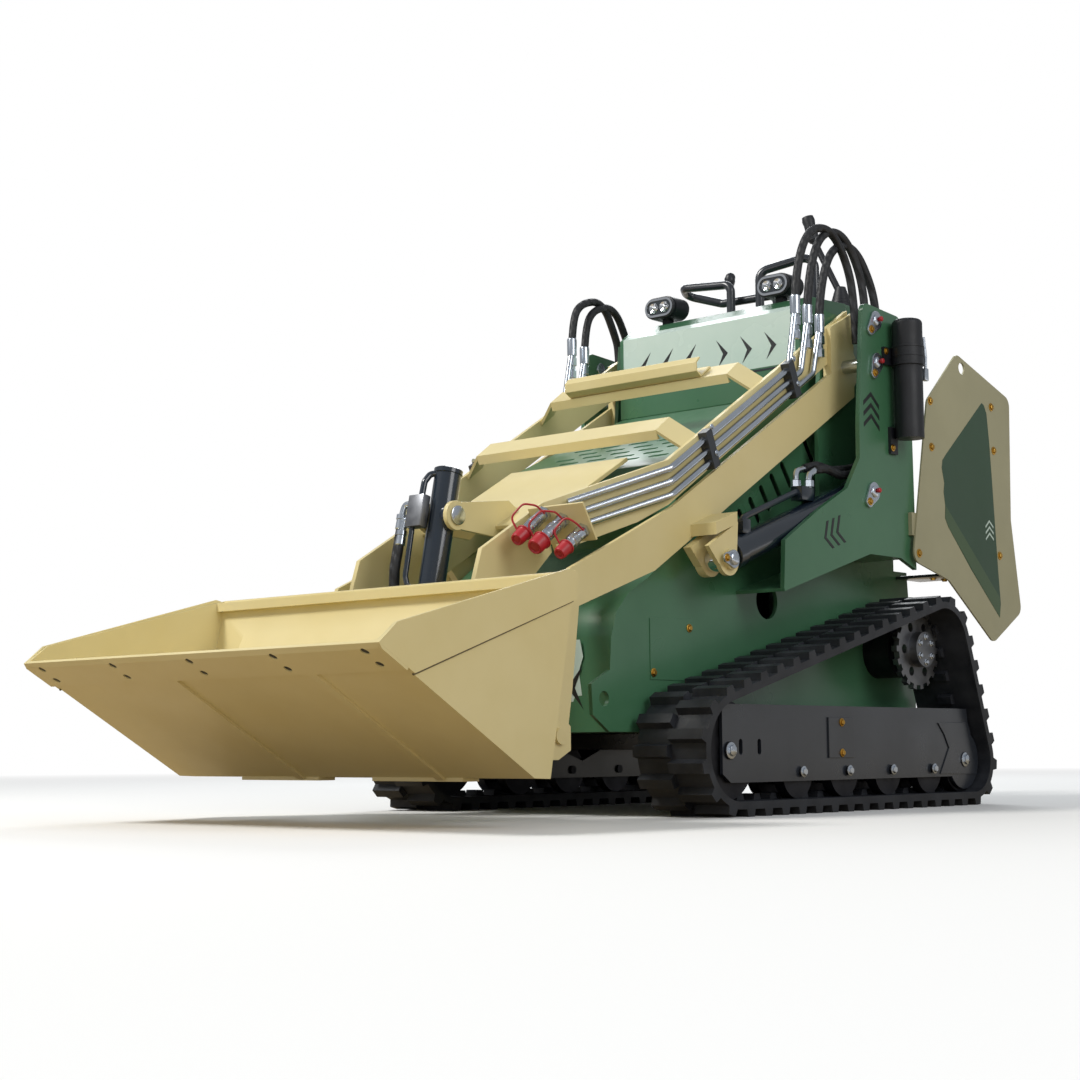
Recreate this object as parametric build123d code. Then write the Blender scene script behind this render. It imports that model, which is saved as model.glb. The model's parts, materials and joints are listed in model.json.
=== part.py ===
from build123d import *
import math
import os

# Stand-on compact track loader with a bucket.
# Millimetres, Z up, the machine looks along -Y, and +X is its left side.
# The origin is on the ground, midway along and across the machine.
# A side profile is a list of (y, z) points, drawn at a place along X.

# Driving sizes: tracks
belt_inner_x = 344.0
belt_width = 192.0
belt_carcass = 17.0
lug_height = 17.0
lug_length = 34.0
lug_pitch = 72.0
front_idler_y = -150.0
front_idler_outer = 147.0
rear_idler_y = 891.0
rear_idler_outer = 118.0
sprocket_y = 766.0
sprocket_z = 405.0
sprocket_outer = 138.0
wheel_gap = 0.3
wheel_half_width = 52.0
wheel_groove = 24.0
roller_first_y = 133.0
roller_pitch = 199.0
roller_count = 4
roller_radius = 62.0
sprocket_thickness = 16.0
sprocket_teeth = 18
frame_plate = 8.0
frame_top_z = 251.0
frame_bottom_z = 75.0
frame_end_radius = 76.0

guide_lug_half = 20.0
guide_lug_rise = 14.0

# Driving sizes: chassis and towers
chassis_half = 325.0
chassis_plate = 10.0
chassis_floor_z = 190.0
chassis_side_top = 628.0
chassis_top_z = 782.0
chassis_rear_y = 860.0
beam_bottom_z = 150.0
beam_half = 60.0
tie_down_y = -371.0
tie_down_z = 263.0
tie_down_radius = 17.0
tower_gap = 6.0
tower_plate = 12.0
tower_depth = 124.0
pivot_y = 565.0
pivot_z = 1137.0
tie_pin_rise = 110.0
base_pin_y = 534.0
base_pin_z = 798.0
tower_pin_radius = 17.5

# Driving sizes: arms
arm_inner_x = 350.0
arm_plate = 12.0
arm_nose_x = 188.0
arm_pivot_boss = 62.0
fold_x = 291.0
rod_pin_y = -61.0
rod_pin_z = 586.0
ear_gap = 40.0
ear_plate = 12.0
lift_cylinder_x = 415.0
lift_barrel_radius = 36.0
lift_rod_radius = 18.0
lift_eye_radius = 27.0
lift_eye_width = 37.0
pin_clearance = 0.05
side_clearance = 1.0

# Driving sizes: bucket and hitch
bucket_half = 559.0
bucket_plate = 8.0
side_cutter = 6.0
edge_length = 86.0
edge_thickness = 6.0
lip_hole_radius = 9.0
lip_y = -1277.0
lip_z = 345.0
heel_y = -857.0
heel_z = 97.0
back_foot_y = -810.0
back_foot_z = 95.0
back_top_y = -729.0
back_top_z = 510.0
bucket_pin_y = -597.0
bucket_pin_z = 180.0
bucket_pin_radius = 17.5
trunnion_y = -552.0
trunnion_z = 680.0
barrel_above_trunnion = 108.0
tilt_ear_y = -625.0
tilt_ear_z = 330.0
tilt_barrel_radius = 31.0
tilt_rod_radius = 17.5
tilt_eye_radius = 26.0
tilt_eye_width = 40.0

# Driving sizes: body panels
hood_half = 302.0
hood_front_y = 466.0
hood_low_z = 1066.0
hood_top_z = 1331.0
hood_rear_y = 690.0
hood_rear_rise = 9.0
cover_half = 296.0
panel_thickness = 4.0
seat = 0.3
guard_x = 478.0
guard_plate = 5.0
guard_rounding = 30.0
lamp_x = 192.0
lamp_y = 547.0
lamp_z = 1378.0
lamp_width = 105.0
lamp_height = 61.0
bar_radius = 12.0
step_width = 560.0
step_length = 230.0
step_z = 300.0
step_thickness = 28.0
step_hinge_y = 885.0
step_hinge_z = 314.0
step_pin_radius = 10.0
step_lug_x = 230.0

os.makedirs("parts", exist_ok=True)
parts = {}


# Shapes drawn in a side view
def outline(points, rounding=0.0):
    face = make_face(Polyline(*points, close=True))
    if rounding:
        face = fillet(face.vertices(), rounding)
    return face


def disc(center, radius):
    return Pos(center[0], center[1]) * Circle(radius)


def slab(face, x_low, x_high):
    return extrude(Plane.YZ.offset(x_low) * face, amount=x_high - x_low, dir=(1, 0, 0))


def shaft(center, radius, x_low, x_high):
    return slab(disc(center, radius), x_low, x_high)


def block(x_range, y_range, z_range):
    size = [high - low for low, high in (x_range, y_range, z_range)]
    middle = [(high + low) / 2 for low, high in (x_range, y_range, z_range)]
    return Pos(*middle) * Box(*size)


def rod_between(start, end, radius):
    way = Vector(*end) - Vector(*start)
    return extrude(Plane(origin=start, z_dir=way) * Circle(radius), amount=way.length)


def bent_tube(points, radius, bend):
    path = FilletPolyline(*points, radius=bend)
    plane = Plane(origin=path @ 0, z_dir=path % 0)
    return sweep(plane * Circle(radius), path=path)


def both_sides(shape):
    return [shape, mirror(shape, about=Plane.YZ)]


def join(pieces):
    total = pieces[0]
    for piece in pieces[1:]:
        total = total + piece
    return total


def along(start, end, distance):
    length = math.dist(start, end)
    return tuple(a + (b - a) * distance / length for a, b in zip(start, end))


def add_pair(name, shape):
    parts[name + "_left"], parts[name + "_right"] = both_sides(shape)


# Track belt: one closed loop round the two idlers and the sprocket
belt_thickness = belt_carcass + lug_height
belt_middle_x = belt_inner_x + belt_width / 2
front_idler = (front_idler_y, front_idler_outer)
rear_idler = (rear_idler_y, rear_idler_outer)
sprocket = (sprocket_y, sprocket_z)
wheels = [(front_idler, front_idler_outer), (rear_idler, rear_idler_outer), (sprocket, sprocket_outer)]


def tangent_ends(first, second):
    (c1, r1), (c2, r2) = first, second
    heading = math.atan2(c2[1] - c1[1], c2[0] - c1[0])
    normal = heading - math.acos((r1 - r2) / math.dist(c1, c2))
    across = (math.cos(normal), math.sin(normal))
    return [(c[0] + r * across[0], c[1] + r * across[1]) for c, r in ((c1, r1), (c2, r2))]


def loop_face(inset):
    circles = [(center, radius - inset) for center, radius in wheels]
    runs = [tangent_ends(circles[i], circles[(i + 1) % 3]) for i in range(3)]
    edges = []
    for i in range(3):
        start, end = runs[i]
        (center, radius), following = circles[(i + 1) % 3], runs[(i + 1) % 3][0]
        away = [(end[k] + following[k]) / 2 - center[k] for k in (0, 1)]
        size = math.hypot(*away)
        middle = tuple(center[k] + radius * away[k] / size for k in (0, 1))
        edges += [Line(start, end), ThreePointArc(end, middle, following)]
    return make_face(edges), runs, circles


def loop_places(inset, count, shift):
    _, runs, circles = loop_face(inset)
    stretches = []
    for i in range(3):
        start, end = runs[i]
        center, radius = circles[(i + 1) % 3]
        first = math.atan2(end[1] - center[1], end[0] - center[0])
        following = runs[(i + 1) % 3][0]
        last = math.atan2(following[1] - center[1], following[0] - center[0])
        turn = (last - first) % (2 * math.pi)
        stretches.append(("run", math.dist(start, end), start, end))
        stretches.append(("arc", turn * radius, center, (radius, first)))
    total = sum(item[1] for item in stretches)
    places = []
    for number in range(count):
        left = (number + shift) * total / count % total
        for kind, length, first, second in stretches:
            if left <= length:
                break
            left -= length
        if kind == "run":
            point = along(first, second, left)
            angle = math.atan2(second[1] - first[1], second[0] - first[0]) - math.pi / 2
        else:
            angle = second[1] + left / second[0]
            point = (first[0] + second[0] * math.cos(angle), first[1] + second[0] * math.sin(angle))
        places.append((point, math.degrees(angle)))
    return places


def track_belt():
    outer, runs, circles = loop_face(lug_height)
    inner, _, _ = loop_face(belt_thickness)
    band = slab(outer - inner, belt_inner_x, belt_inner_x + belt_width)
    path_length = sum(math.dist(*run) for run in runs) + math.tau * front_idler_outer
    count = round(path_length / lug_pitch)
    lugs = []
    rows = ((belt_inner_x, belt_middle_x, 0.0), (belt_middle_x, belt_inner_x + belt_width, 0.5))
    lug = Polyline((-4.0, -lug_length / 2), (lug_height, -lug_length / 2 + 5.0),
                   (lug_height, lug_length / 2 - 5.0), (-4.0, lug_length / 2), close=True)
    for low, high, shift in rows:
        for point, angle in loop_places(lug_height, count, shift):
            face = Pos(*point) * Rot(0, 0, angle) * make_face(lug)
            lugs.append(slab(face, low, high))
    return band + lugs + guide_lugs(count)


def guide_lugs(count):
    guide = Polyline((2.0, -15.0), (-guide_lug_rise, -10.0), (-guide_lug_rise, 10.0), (2.0, 15.0), close=True)
    low, high = belt_middle_x - guide_lug_half, belt_middle_x + guide_lug_half
    split = sprocket_thickness / 2 + 2.0
    lugs = []
    for point, angle in loop_places(belt_thickness, count, 0.5):
        face = Pos(*point) * Rot(0, 0, angle) * make_face(guide)
        if math.dist(point, sprocket) > sprocket_outer:
            lugs.append(slab(face, low, high))
        else:
            lugs += [slab(face, low, belt_middle_x - split), slab(face, belt_middle_x + split, high)]
    return lugs


# Wheels inside the belt
def twin_wheel(center, radius, hub):
    wide = shaft(center, radius, belt_middle_x - wheel_half_width, belt_middle_x + wheel_half_width)
    groove = shaft(center, radius + 5, belt_middle_x - wheel_groove, belt_middle_x + wheel_groove)
    return wide - (groove - shaft(center, hub, belt_middle_x - wheel_groove, belt_middle_x + wheel_groove))


def rollers():
    height = belt_thickness + wheel_gap + roller_radius
    wheels_made = []
    for number in range(roller_count):
        center = (roller_first_y + number * roller_pitch, height)
        reach = frame_outer_x + 6.0 - belt_middle_x
        pin = shaft(center, 11.0, belt_middle_x - reach, belt_middle_x + reach)
        wheels_made.append(twin_wheel(center, roller_radius, 30.0) + pin)
    return wheels_made


frame_outer_x = belt_middle_x + wheel_half_width + 3.0 + frame_plate
frame_inner_x = 2 * belt_middle_x - frame_outer_x
roller_z = belt_thickness + wheel_gap + roller_radius
sprocket_tip = sprocket_outer - belt_thickness - wheel_gap


def sprocket_wheel():
    plate = disc(sprocket, sprocket_tip - 11.0)
    for number in range(sprocket_teeth):
        turn = Rot(0, 0, 360.0 * number / sprocket_teeth)
        tooth = Pos(*sprocket) * turn * (Pos(sprocket_tip - 8.0, 0) * Rectangle(16.0, 15.0))
        plate = plate + tooth
    for number in range(6):
        hole = Pos(*sprocket) * Rot(0, 0, 60.0 * number) * (Pos(66.0, 0) * Circle(12.0))
        plate = plate - hole
    low = belt_middle_x - sprocket_thickness / 2
    return slab(plate, low, low + sprocket_thickness) + shaft(sprocket, 46.0, low, low + 40.0)


def drive_motor():
    flange_x = belt_middle_x - sprocket_thickness / 2
    body = shaft(sprocket, 72.0, chassis_half, flange_x - 30.0) + shaft(sprocket, 52.0, chassis_half, flange_x)
    return body


# Track frame: two plates and a roof, open below for the rollers
def track_frame():
    front = front_idler_y - 26.0
    roof_start = front_idler_y + front_idler_outer - belt_thickness + 12.0
    side = outline([(front, frame_bottom_z + 20), (front, frame_top_z), (912.0, frame_top_z),
                    (917.0, 216.0), (rear_idler_y + 40.0, 190.0), (rear_idler_y + 40.0, frame_bottom_z),
                    (front + 30.0, frame_bottom_z)])
    side = side + disc(rear_idler, frame_end_radius)
    roof = block((frame_inner_x, frame_outer_x), (roof_start, 780.0), (frame_top_z - frame_plate, frame_top_z))
    window = outline([(280.0, 150.0), (455.0, 150.0), (376.0, 120.0)])
    frame = slab(side - window, frame_inner_x, frame_inner_x + frame_plate) + roof
    for y in (-107.0, -35.0):
        side = side - Pos(y, 155.0) * Rot(0, 0, 90) * SlotOverall(36.0, 14.0)
    frame = frame + slab(side, frame_outer_x - frame_plate, frame_outer_x)
    for number in range(roller_count):
        bore = (roller_first_y + number * roller_pitch, roller_z)
        frame = frame - shaft(bore, 11.0 + pin_clearance, frame_inner_x - 1, frame_outer_x + 1)
    for center in (front_idler, rear_idler):
        frame = frame - shaft(center, 20.0 + pin_clearance, frame_inner_x - 1, frame_outer_x + 1)
    return frame


def idler(center, outer):
    reach = frame_outer_x + 4.0 - belt_middle_x
    axle = shaft(center, 20.0, belt_middle_x - reach, belt_middle_x + reach)
    return twin_wheel(center, outer - belt_thickness - wheel_gap, outer - belt_thickness - 40.0) + axle


# Undercarriage beams carry the track frames below the chassis
def undercarriage():
    beams = []
    for middle in (190.0, 640.0):
        beams.append(block((-frame_inner_x, frame_inner_x), (middle - beam_half, middle + beam_half),
                           (beam_bottom_z, chassis_floor_z)))
    return beams


# Chassis tub: two side plates with a tie-down ear each, a floor, and folded plates across
front_line = [(-353.0, chassis_floor_z), (-350.0, 327.0), (-344.0, 401.0), (-326.0, 456.0), (-280.0, 505.0),
              (-212.0, 540.0), (-150.0, 585.0), (-91.0, chassis_side_top)]
rear_foot_y = chassis_rear_y - 60.0
rear_knee_z = 560.0
side_points = front_line + [(hood_front_y + seat, chassis_side_top), (hood_front_y + seat, chassis_top_z),
                            (chassis_rear_y, chassis_top_z), (chassis_rear_y, rear_knee_z),
                            (rear_foot_y, chassis_floor_z)]
ear_points = [(-340.0, chassis_floor_z), (-353.0, chassis_floor_z), (-410.0, 227.0), (-414.0, 295.0),
              (-389.0, 308.0), (-350.0, 327.0), (-340.0, 327.0)]
step_hinge = (step_hinge_y, step_hinge_z)


def step_lugs():
    shape = outline([(800.0, 262.0), (step_hinge_y, 292.0), (step_hinge_y, 336.0), (818.0, 366.0)])
    shape = shape + disc(step_hinge, 24.0) - disc(step_hinge, step_pin_radius + pin_clearance)
    return both_sides(slab(shape, step_lug_x, step_lug_x + 12.0))


def main_frame():
    side = outline(side_points) + outline(ear_points)
    side = side - disc((tie_down_y, tie_down_z), tie_down_radius) - disc((261.0, 513.0), 45.0)
    low = chassis_half - chassis_plate
    floor = (chassis_floor_z, chassis_floor_z + chassis_plate)
    ledge = block((cover_half - 6.0, low), (-75.0, hood_front_y), (chassis_side_top - chassis_plate, chassis_side_top))
    inside = [(y + chassis_plate, max(z - 4.0, chassis_floor_z)) for y, z in reversed(front_line)]
    rear = outline([(rear_foot_y, chassis_floor_z), (chassis_rear_y, rear_knee_z), (chassis_rear_y, chassis_top_z),
                    (chassis_rear_y - chassis_plate, chassis_top_z), (chassis_rear_y - chassis_plate, rear_knee_z),
                    (rear_foot_y - chassis_plate, chassis_floor_z)])
    pieces = both_sides(slab(side, low, chassis_half)) + both_sides(ledge) + step_lugs()
    pieces += [block((-low, low), (-345.0, rear_foot_y - 5.0), floor), slab(outline(front_line + inside), -low, low),
               slab(rear, -low, low)]
    return join(pieces)


# Loader towers
tower_top_front = (509.0, 1288.0)
tower_top_rear = (689.0, 1276.0)
pivot = (pivot_y, pivot_z)
tie_pin = (pivot_y - 1.0, pivot_z + tie_pin_rise)
base_pin = (base_pin_y, base_pin_z)
rod_pin = (rod_pin_y, rod_pin_z)
tower_inner_x = chassis_half + tower_gap
tower_outer_x = tower_inner_x + tower_depth
tower_far_x = tower_outer_x + tower_plate


def tower():
    column = [tower_top_front, (480.0, 973.0), (478.0, 880.0), (417.0, 797.0), (284.0, 730.0), (139.0, 645.0),
              (131.0, 530.0), (516.0, 646.0), (640.0, 646.0), (740.0, 612.0), (735.0, 1100.0), tower_top_rear]
    outer = outline(column)
    outer = fillet(outer.vertices().sort_by(Axis.Y)[-4:], 24.0)
    inner = outline([tower_top_front, (480.0, 973.0), (478.0, 790.0), (735.0, 790.0), (735.0, 1100.0),
                     tower_top_rear])
    piece = slab(outer, tower_outer_x, tower_far_x) + slab(inner, tower_inner_x, tower_inner_x + tower_plate)
    rear_web = block((tower_inner_x, tower_outer_x), (712.0, 722.0), (700.0, 1125.0))
    fender = outline([(131.0, 530.0), (516.0, 646.0), (700.0, 646.0), (700.0, 638.0), (517.0, 638.0),
                      (133.0, 522.0)])
    piece = piece + rear_web + slab(fender, chassis_half, tower_far_x)
    mount_strip = block((chassis_half, tower_inner_x), (480.0, 735.0), (700.0, 775.0))
    piece = piece + mount_strip + block((tower_inner_x, tower_inner_x + tower_plate), (480.0, 735.0), (700.0, 795.0))
    for center in (pivot, tie_pin, base_pin):
        piece = piece - shaft(center, tower_pin_radius + pin_clearance, tower_inner_x - 1, tower_far_x + 1)
    return piece


def tower_pin(center, low, high):
    head = shaft(center, tower_pin_radius + 9, tower_far_x + 0.3, tower_far_x + 9.0)
    return shaft(center, tower_pin_radius, low, high) + head


def tower_pins():
    low = tower_inner_x - 4.0
    return [tower_pin(pivot, low, tower_far_x + 5), tower_pin(tie_pin, tower_outer_x - 4, tower_far_x + 5),
            tower_pin(base_pin, low, tower_far_x + 5)]


# Pivots of the tilt linkage
trunnion = (trunnion_y, trunnion_z)
trunnion_bore = 16.0 + pin_clearance
tilt_ear = (tilt_ear_y, tilt_ear_z)
bucket_pin = (bucket_pin_y, bucket_pin_z)

# Loader arm: an outer plate down to the hitch, and an inner plate that bends in at the knee
inner_top = ((600.0, 1296.0), (-176.0, 814.6))
inner_depth = 96.0
nose_y = -430.0
nose_top_z = 706.0
bracket_y = -478.0
bracket_top_z = 690.0


def outer_plate():
    shape = outline([(610.0, 1290.0), (500.0, 1234.0), (500.0, 1113.0), (-178.0, 704.0), (-539.0, 539.0),
                     (-560.0, 470.0), (-600.0, 300.0), (-650.0, 215.0), (-640.0, 140.0), (-560.0, 140.0),
                     (-535.0, 280.0), (-511.0, 459.0), (-245.0, 553.0), (608.0, 1065.0)])
    shape = shape + disc(pivot, arm_pivot_boss) + disc(bucket_pin, 48.0)
    return slab(shape, arm_inner_x + arm_plate, arm_inner_x + 2 * arm_plate)


def inner_plate():
    (back_y, back_z), (knee_y, knee_z) = inner_top
    rear = outline([(back_y, back_z), (knee_y, knee_z), (knee_y, knee_z - inner_depth - 8),
                    (500.0, 1138.0), (500.0, 1060.0), (608.0, 1066.0)]) + disc(pivot, arm_pivot_boss)
    plate = slab(rear, arm_inner_x, arm_inner_x + arm_plate)
    outside = arm_inner_x + arm_plate
    nose_out = arm_nose_x + arm_plate
    plan = make_face(Polyline((outside, knee_y), (arm_inner_x, knee_y), (arm_nose_x, nose_y), (nose_out, nose_y),
                              close=True))
    side = outline([(knee_y, knee_z), (nose_y, nose_top_z), (nose_y + 30, nose_top_z - 110), (-240.0, 668.0),
                    (knee_y, knee_z - inner_depth - 8)])
    bent = extrude(plan, amount=1000.0) & slab(side, arm_nose_x - 1, outside + 1)
    front = outline([(nose_y, nose_top_z), (-630.0, 588.0), (-652.0, 520.0), (-640.0, 420.0), (-600.0, 400.0),
                     (-540.0, 440.0), (-460.0, 540.0), (nose_y + 30, nose_top_z - 110)])
    return plate + bent + slab(front, arm_nose_x, nose_out)


def arm_side():
    plate = outer_plate() + inner_plate()
    nose_brace = outline([(-560.0, 470.0), (-540.0, 470.0), (-572.0, 300.0), (-592.0, 300.0)])
    plate = plate + slab(nose_brace, arm_nose_x + 2, arm_inner_x + arm_plate)
    for center in (pivot, bucket_pin):
        plate = plate - shaft(center, tower_pin_radius + pin_clearance, arm_inner_x - 1, arm_inner_x + 40)
    return plate + rod_ears()


def rod_ears():
    low = arm_inner_x + 2 * arm_plate
    inner_face = lift_cylinder_x - ear_gap / 2
    outer_face = lift_cylinder_x + ear_gap / 2
    shape = outline([(-24.0, 676.0), (-140.0, 612.0), (-100.0, 572.0), (-61.0, 560.0), (-30.0, 600.0)])
    shape = shape + disc(rod_pin, 38.0)
    ears = slab(shape, low, inner_face)
    ears = ears + slab(shape, outer_face, outer_face + ear_plate)
    bridge = outline([(-26.0, 672.0), (-110.0, 640.0), (-110.0, 668.0), (-26.0, 700.0)])
    ears = ears + slab(bridge, low, outer_face + ear_plate)
    stub = shaft(rod_pin, 24.0, outer_face + ear_plate, outer_face + ear_plate + 9.0)
    return ears + stub


lower_fold = ((-131.0, 898.0), (-78.0, 936.0))
upper_fold = ((156.0, 1074.0), (206.0, 1110.0))


def cross_member(fold_front, fold_back, drop):
    wing_x = arm_inner_x
    thickness = 10.0
    profile = outline([fold_front, fold_back, (fold_back[0] + 5, fold_back[1] - 9), (fold_front[0] + 5,
                       fold_front[1] - 9)])
    lip = outline([fold_front, (fold_front[0] + 5, fold_front[1] - 9), (fold_front[0] + 26, fold_front[1] - 42),
                   (fold_front[0] + 18, fold_front[1] - 46)])
    middle = slab(profile + lip, -fold_x, fold_x)
    wings = []
    for side in (1, -1):
        start = [(side * fold_x, *point) for point in (fold_front, fold_back)]
        run = side * (wing_x - fold_x)
        corner = [Vector(*start[0]), Vector(*start[1])]
        far = [corner[0] + Vector(run, 0.5 * drop, -0.86 * drop), corner[1] + Vector(run, 0.5 * drop, -0.86 * drop)]
        face = make_face(Polyline(corner[0], corner[1], far[1], far[0], close=True))
        wings.append(extrude(face, amount=thickness, dir=(0, 0.5, -0.86)))
    return join([middle] + wings)


def lower_cross_plate():
    front, back = (-427.0, 665.0), (-112.0, 846.0)
    profile = outline([front, back, (-107.0, 838.0), (-422.0, 657.0)])
    half_front = arm_nose_x - 0.3
    plate = slab(profile, -half_front, half_front)
    slot = block((-45.0, 45.0), (-440.0, -330.0), (600.0, 760.0))
    plate = plate - slot
    cheek = outline([(trunnion_y, trunnion_z + 30.0), (-380.0, 730.0), (-340.0, 707.0), (-420.0, 640.0),
                     (trunnion_y, trunnion_z - 30.0)]) + disc(trunnion, 34.0) - disc(trunnion, trunnion_bore)
    near = tilt_barrel_radius + 6.0
    for low in (near, -near - 12.0):
        plate = plate + slab(cheek, low, low + 12.0)
    return plate


# Lift cylinder, seen along X: base pin, then barrel, then rod to its eye
def lift_barrel():
    start, end = base_pin, rod_pin
    tube_end = along(start, end, math.dist(start, end) - 62.0)
    tube_start = along(start, end, 30.0)
    x = lift_cylinder_x
    barrel = rod_between((x, *tube_start), (x, *tube_end), lift_barrel_radius)
    bore = rod_between((x, *along(start, end, 60.0)), (x, *along(start, end, 640.0)), lift_rod_radius + pin_clearance)
    barrel = barrel - bore
    barrel = barrel + shaft(start, 34.0, x - 24.0, x + 24.0)
    return barrel - shaft(start, tower_pin_radius + pin_clearance, x - 30, x + 30)


def lift_rod():
    start, end = rod_pin, base_pin
    x = lift_cylinder_x
    rod = rod_between((x, *start), (x, *along(start, end, 540.0)), lift_rod_radius)
    return rod + shaft(start, lift_eye_radius, x - lift_eye_width / 2, x + lift_eye_width / 2)


# Tilt cylinder on the machine's middle


def tilt_barrel():
    length = math.dist(trunnion, tilt_ear)
    top = along(trunnion, tilt_ear, -barrel_above_trunnion)
    low = along(trunnion, tilt_ear, length - 105.0)
    barrel = rod_between((0, *top), (0, *low), tilt_barrel_radius)
    bore = rod_between((0, *along(trunnion, tilt_ear, 12.0 - barrel_above_trunnion)), (0, *tilt_ear),
                       tilt_rod_radius + pin_clearance)
    reach = tilt_barrel_radius + 18.0
    collar = tilt_barrel_radius + 5.0
    pins = shaft(trunnion, 16.0, -reach, reach) + shaft(trunnion, 26.0, -collar, collar)
    return barrel + pins - bore


def tilt_rod():
    half = tilt_eye_width / 2
    rod = rod_between((0, *tilt_ear), (0, *along(tilt_ear, trunnion, 440.0)), tilt_rod_radius)
    return rod + shaft(tilt_ear, tilt_eye_radius, -half, half)


# Bucket
lip = (lip_y, lip_z)
heel = (heel_y, heel_z)
back_foot = (back_foot_y, back_foot_z)
back_top = (back_top_y, back_top_z)


floor_length = math.dist(lip, heel)
floor_down = ((heel_z - lip_z) / floor_length, -(heel_y - lip_y) / floor_length)


def below_floor(distance, depth):
    y, z = along(lip, heel, distance)
    return (y + floor_down[0] * depth, z + floor_down[1] * depth)


def lip_holes():
    bores = []
    for x in (-508.0, -254.0, 0.0, 254.0, 508.0):
        for distance in (19.0, 62.0):
            ends = [(x, *below_floor(distance, depth)) for depth in (-40.0, 40.0)]
            bores.append(rod_between(*ends, lip_hole_radius))
    return bores


def bucket_shell():
    outside = bucket_half - side_cutter
    inside = outside - bucket_plate
    side = outline([lip, heel, back_foot, back_top, (-1226.0, 384.0)])
    inner = outline([(-1300.0, 367.0), (heel_y + 4, heel_z + 10.0), (back_foot_y - 8, back_foot_z + 9),
                     (back_top_y - 8, back_top_z + 4), (back_top_y - 8, back_top_z + 60), (-1300.0, 500.0)])
    shell = slab(side, -outside, outside) - slab(inner, -inside, inside)
    cutter = outline([lip, below_floor(105.0, 0.0), (-732.0, 451.0), (-729.0, 505.0), (-756.0, 511.0), (-1231.0, 384.0)])
    wedge = outline([(-751.0, 432.0), (-903.0, 132.0), (-896.0, 128.0), (-749.0, 424.0)])
    pieces = [shell, slab(wedge, -450.0, 450.0), block((-inside, inside), (-760.0, -738.0), (482.0, 502.0))]
    pieces += both_sides(slab(cutter, outside - 1.0, bucket_half))
    bar = outline([below_floor(edge_length, -1.0), below_floor(floor_length, -1.0), below_floor(floor_length, 6.0),
                   below_floor(edge_length, 6.0)])
    pieces += [slab(bar, x - 11.0, x + 11.0) for x in (-126.0, 300.0)]
    pieces += [block(ends, (heel_y, back_foot_y), (89.0, 98.0)) for ends in ((-328.0, -71.0), (96.0, 360.0))]
    return join(pieces) - lip_holes()


def cutting_edge():
    edge = outline([lip, below_floor(edge_length, 0.0), below_floor(edge_length, edge_thickness),
                    below_floor(12.0, edge_thickness)])
    return slab(edge, -bucket_half, bucket_half) - lip_holes()


def hitch_plate():
    gap = 1.0
    low, high = 120.0, 470.0
    slope = (back_top[0] - back_foot[0]) / (back_top[1] - back_foot[1])
    def wall(z, away):
        return (back_foot[0] + slope * (z - back_foot[1]) + away, z)
    face = outline([wall(low, 0.0), wall(low, 16.0), wall(high, 16.0), wall(high, 0.0)])
    plate = slab(face, -400.0, 400.0)
    lug = outline([wall(130.0, 0.0), wall(300.0, 0.0), (-640.0, 240.0), (-597.0, 232.0), (-560.0, 200.0),
                   (-560.0, 150.0), (-600.0, 130.0)])
    for inner_x in (arm_inner_x + arm_plate - 15.0 - gap, arm_inner_x + 2 * arm_plate + gap):
        plate = plate + both_sides(slab(lug, inner_x, inner_x + 15.0))
    ear = outline([wall(230.0, 0.0), wall(420.0, 0.0), (-640.0, 372.0), (-600.0, 356.0), (-590.0, 320.0),
                   (-610.0, 290.0)])
    half = tilt_eye_width / 2 + side_clearance
    for low_x in (half, -half - 14.0):
        plate = plate + slab(ear, low_x, low_x + 14.0)
    pin = shaft(bucket_pin, bucket_pin_radius, arm_inner_x - 12.0, arm_inner_x + 2 * arm_plate + 24.0)
    return join([plate] + both_sides(pin))


# Body panels
hood_nose = 55.0
console_top_z = hood_top_z + hood_rear_rise
louvre_pitch = (92.0, 38.0)


def hood_roof(y):
    nose_y = hood_front_y + hood_nose
    return hood_top_z + hood_rear_rise * (y - nose_y) / (hood_rear_y - nose_y)


def hood_front():
    wall = panel_thickness
    shell = outline([(hood_front_y, hood_low_z), (hood_front_y, 1290.0), (hood_front_y + hood_nose, hood_top_z),
                     (hood_rear_y, console_top_z), (hood_rear_y, hood_low_z)])
    inner = outline([(hood_front_y + wall, hood_low_z - 5), (hood_front_y + wall, 1288.0),
                     (hood_front_y + hood_nose + 2, hood_top_z - wall), (hood_rear_y + 5, console_top_z - wall),
                     (hood_rear_y + 5, hood_low_z - 5)])
    return slab(shell, -hood_half, hood_half) - slab(inner, -hood_half + wall, hood_half - wall)


def side_louvre(number):
    spot = Pos(162.0 + 47.3 * number, 673.0 + 34.4 * number) * Rot(0, 0, -53.9)
    return both_sides(slab(spot * SlotOverall(75.0, 18.0), cover_half - 10.0, cover_half + 1.0))


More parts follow.
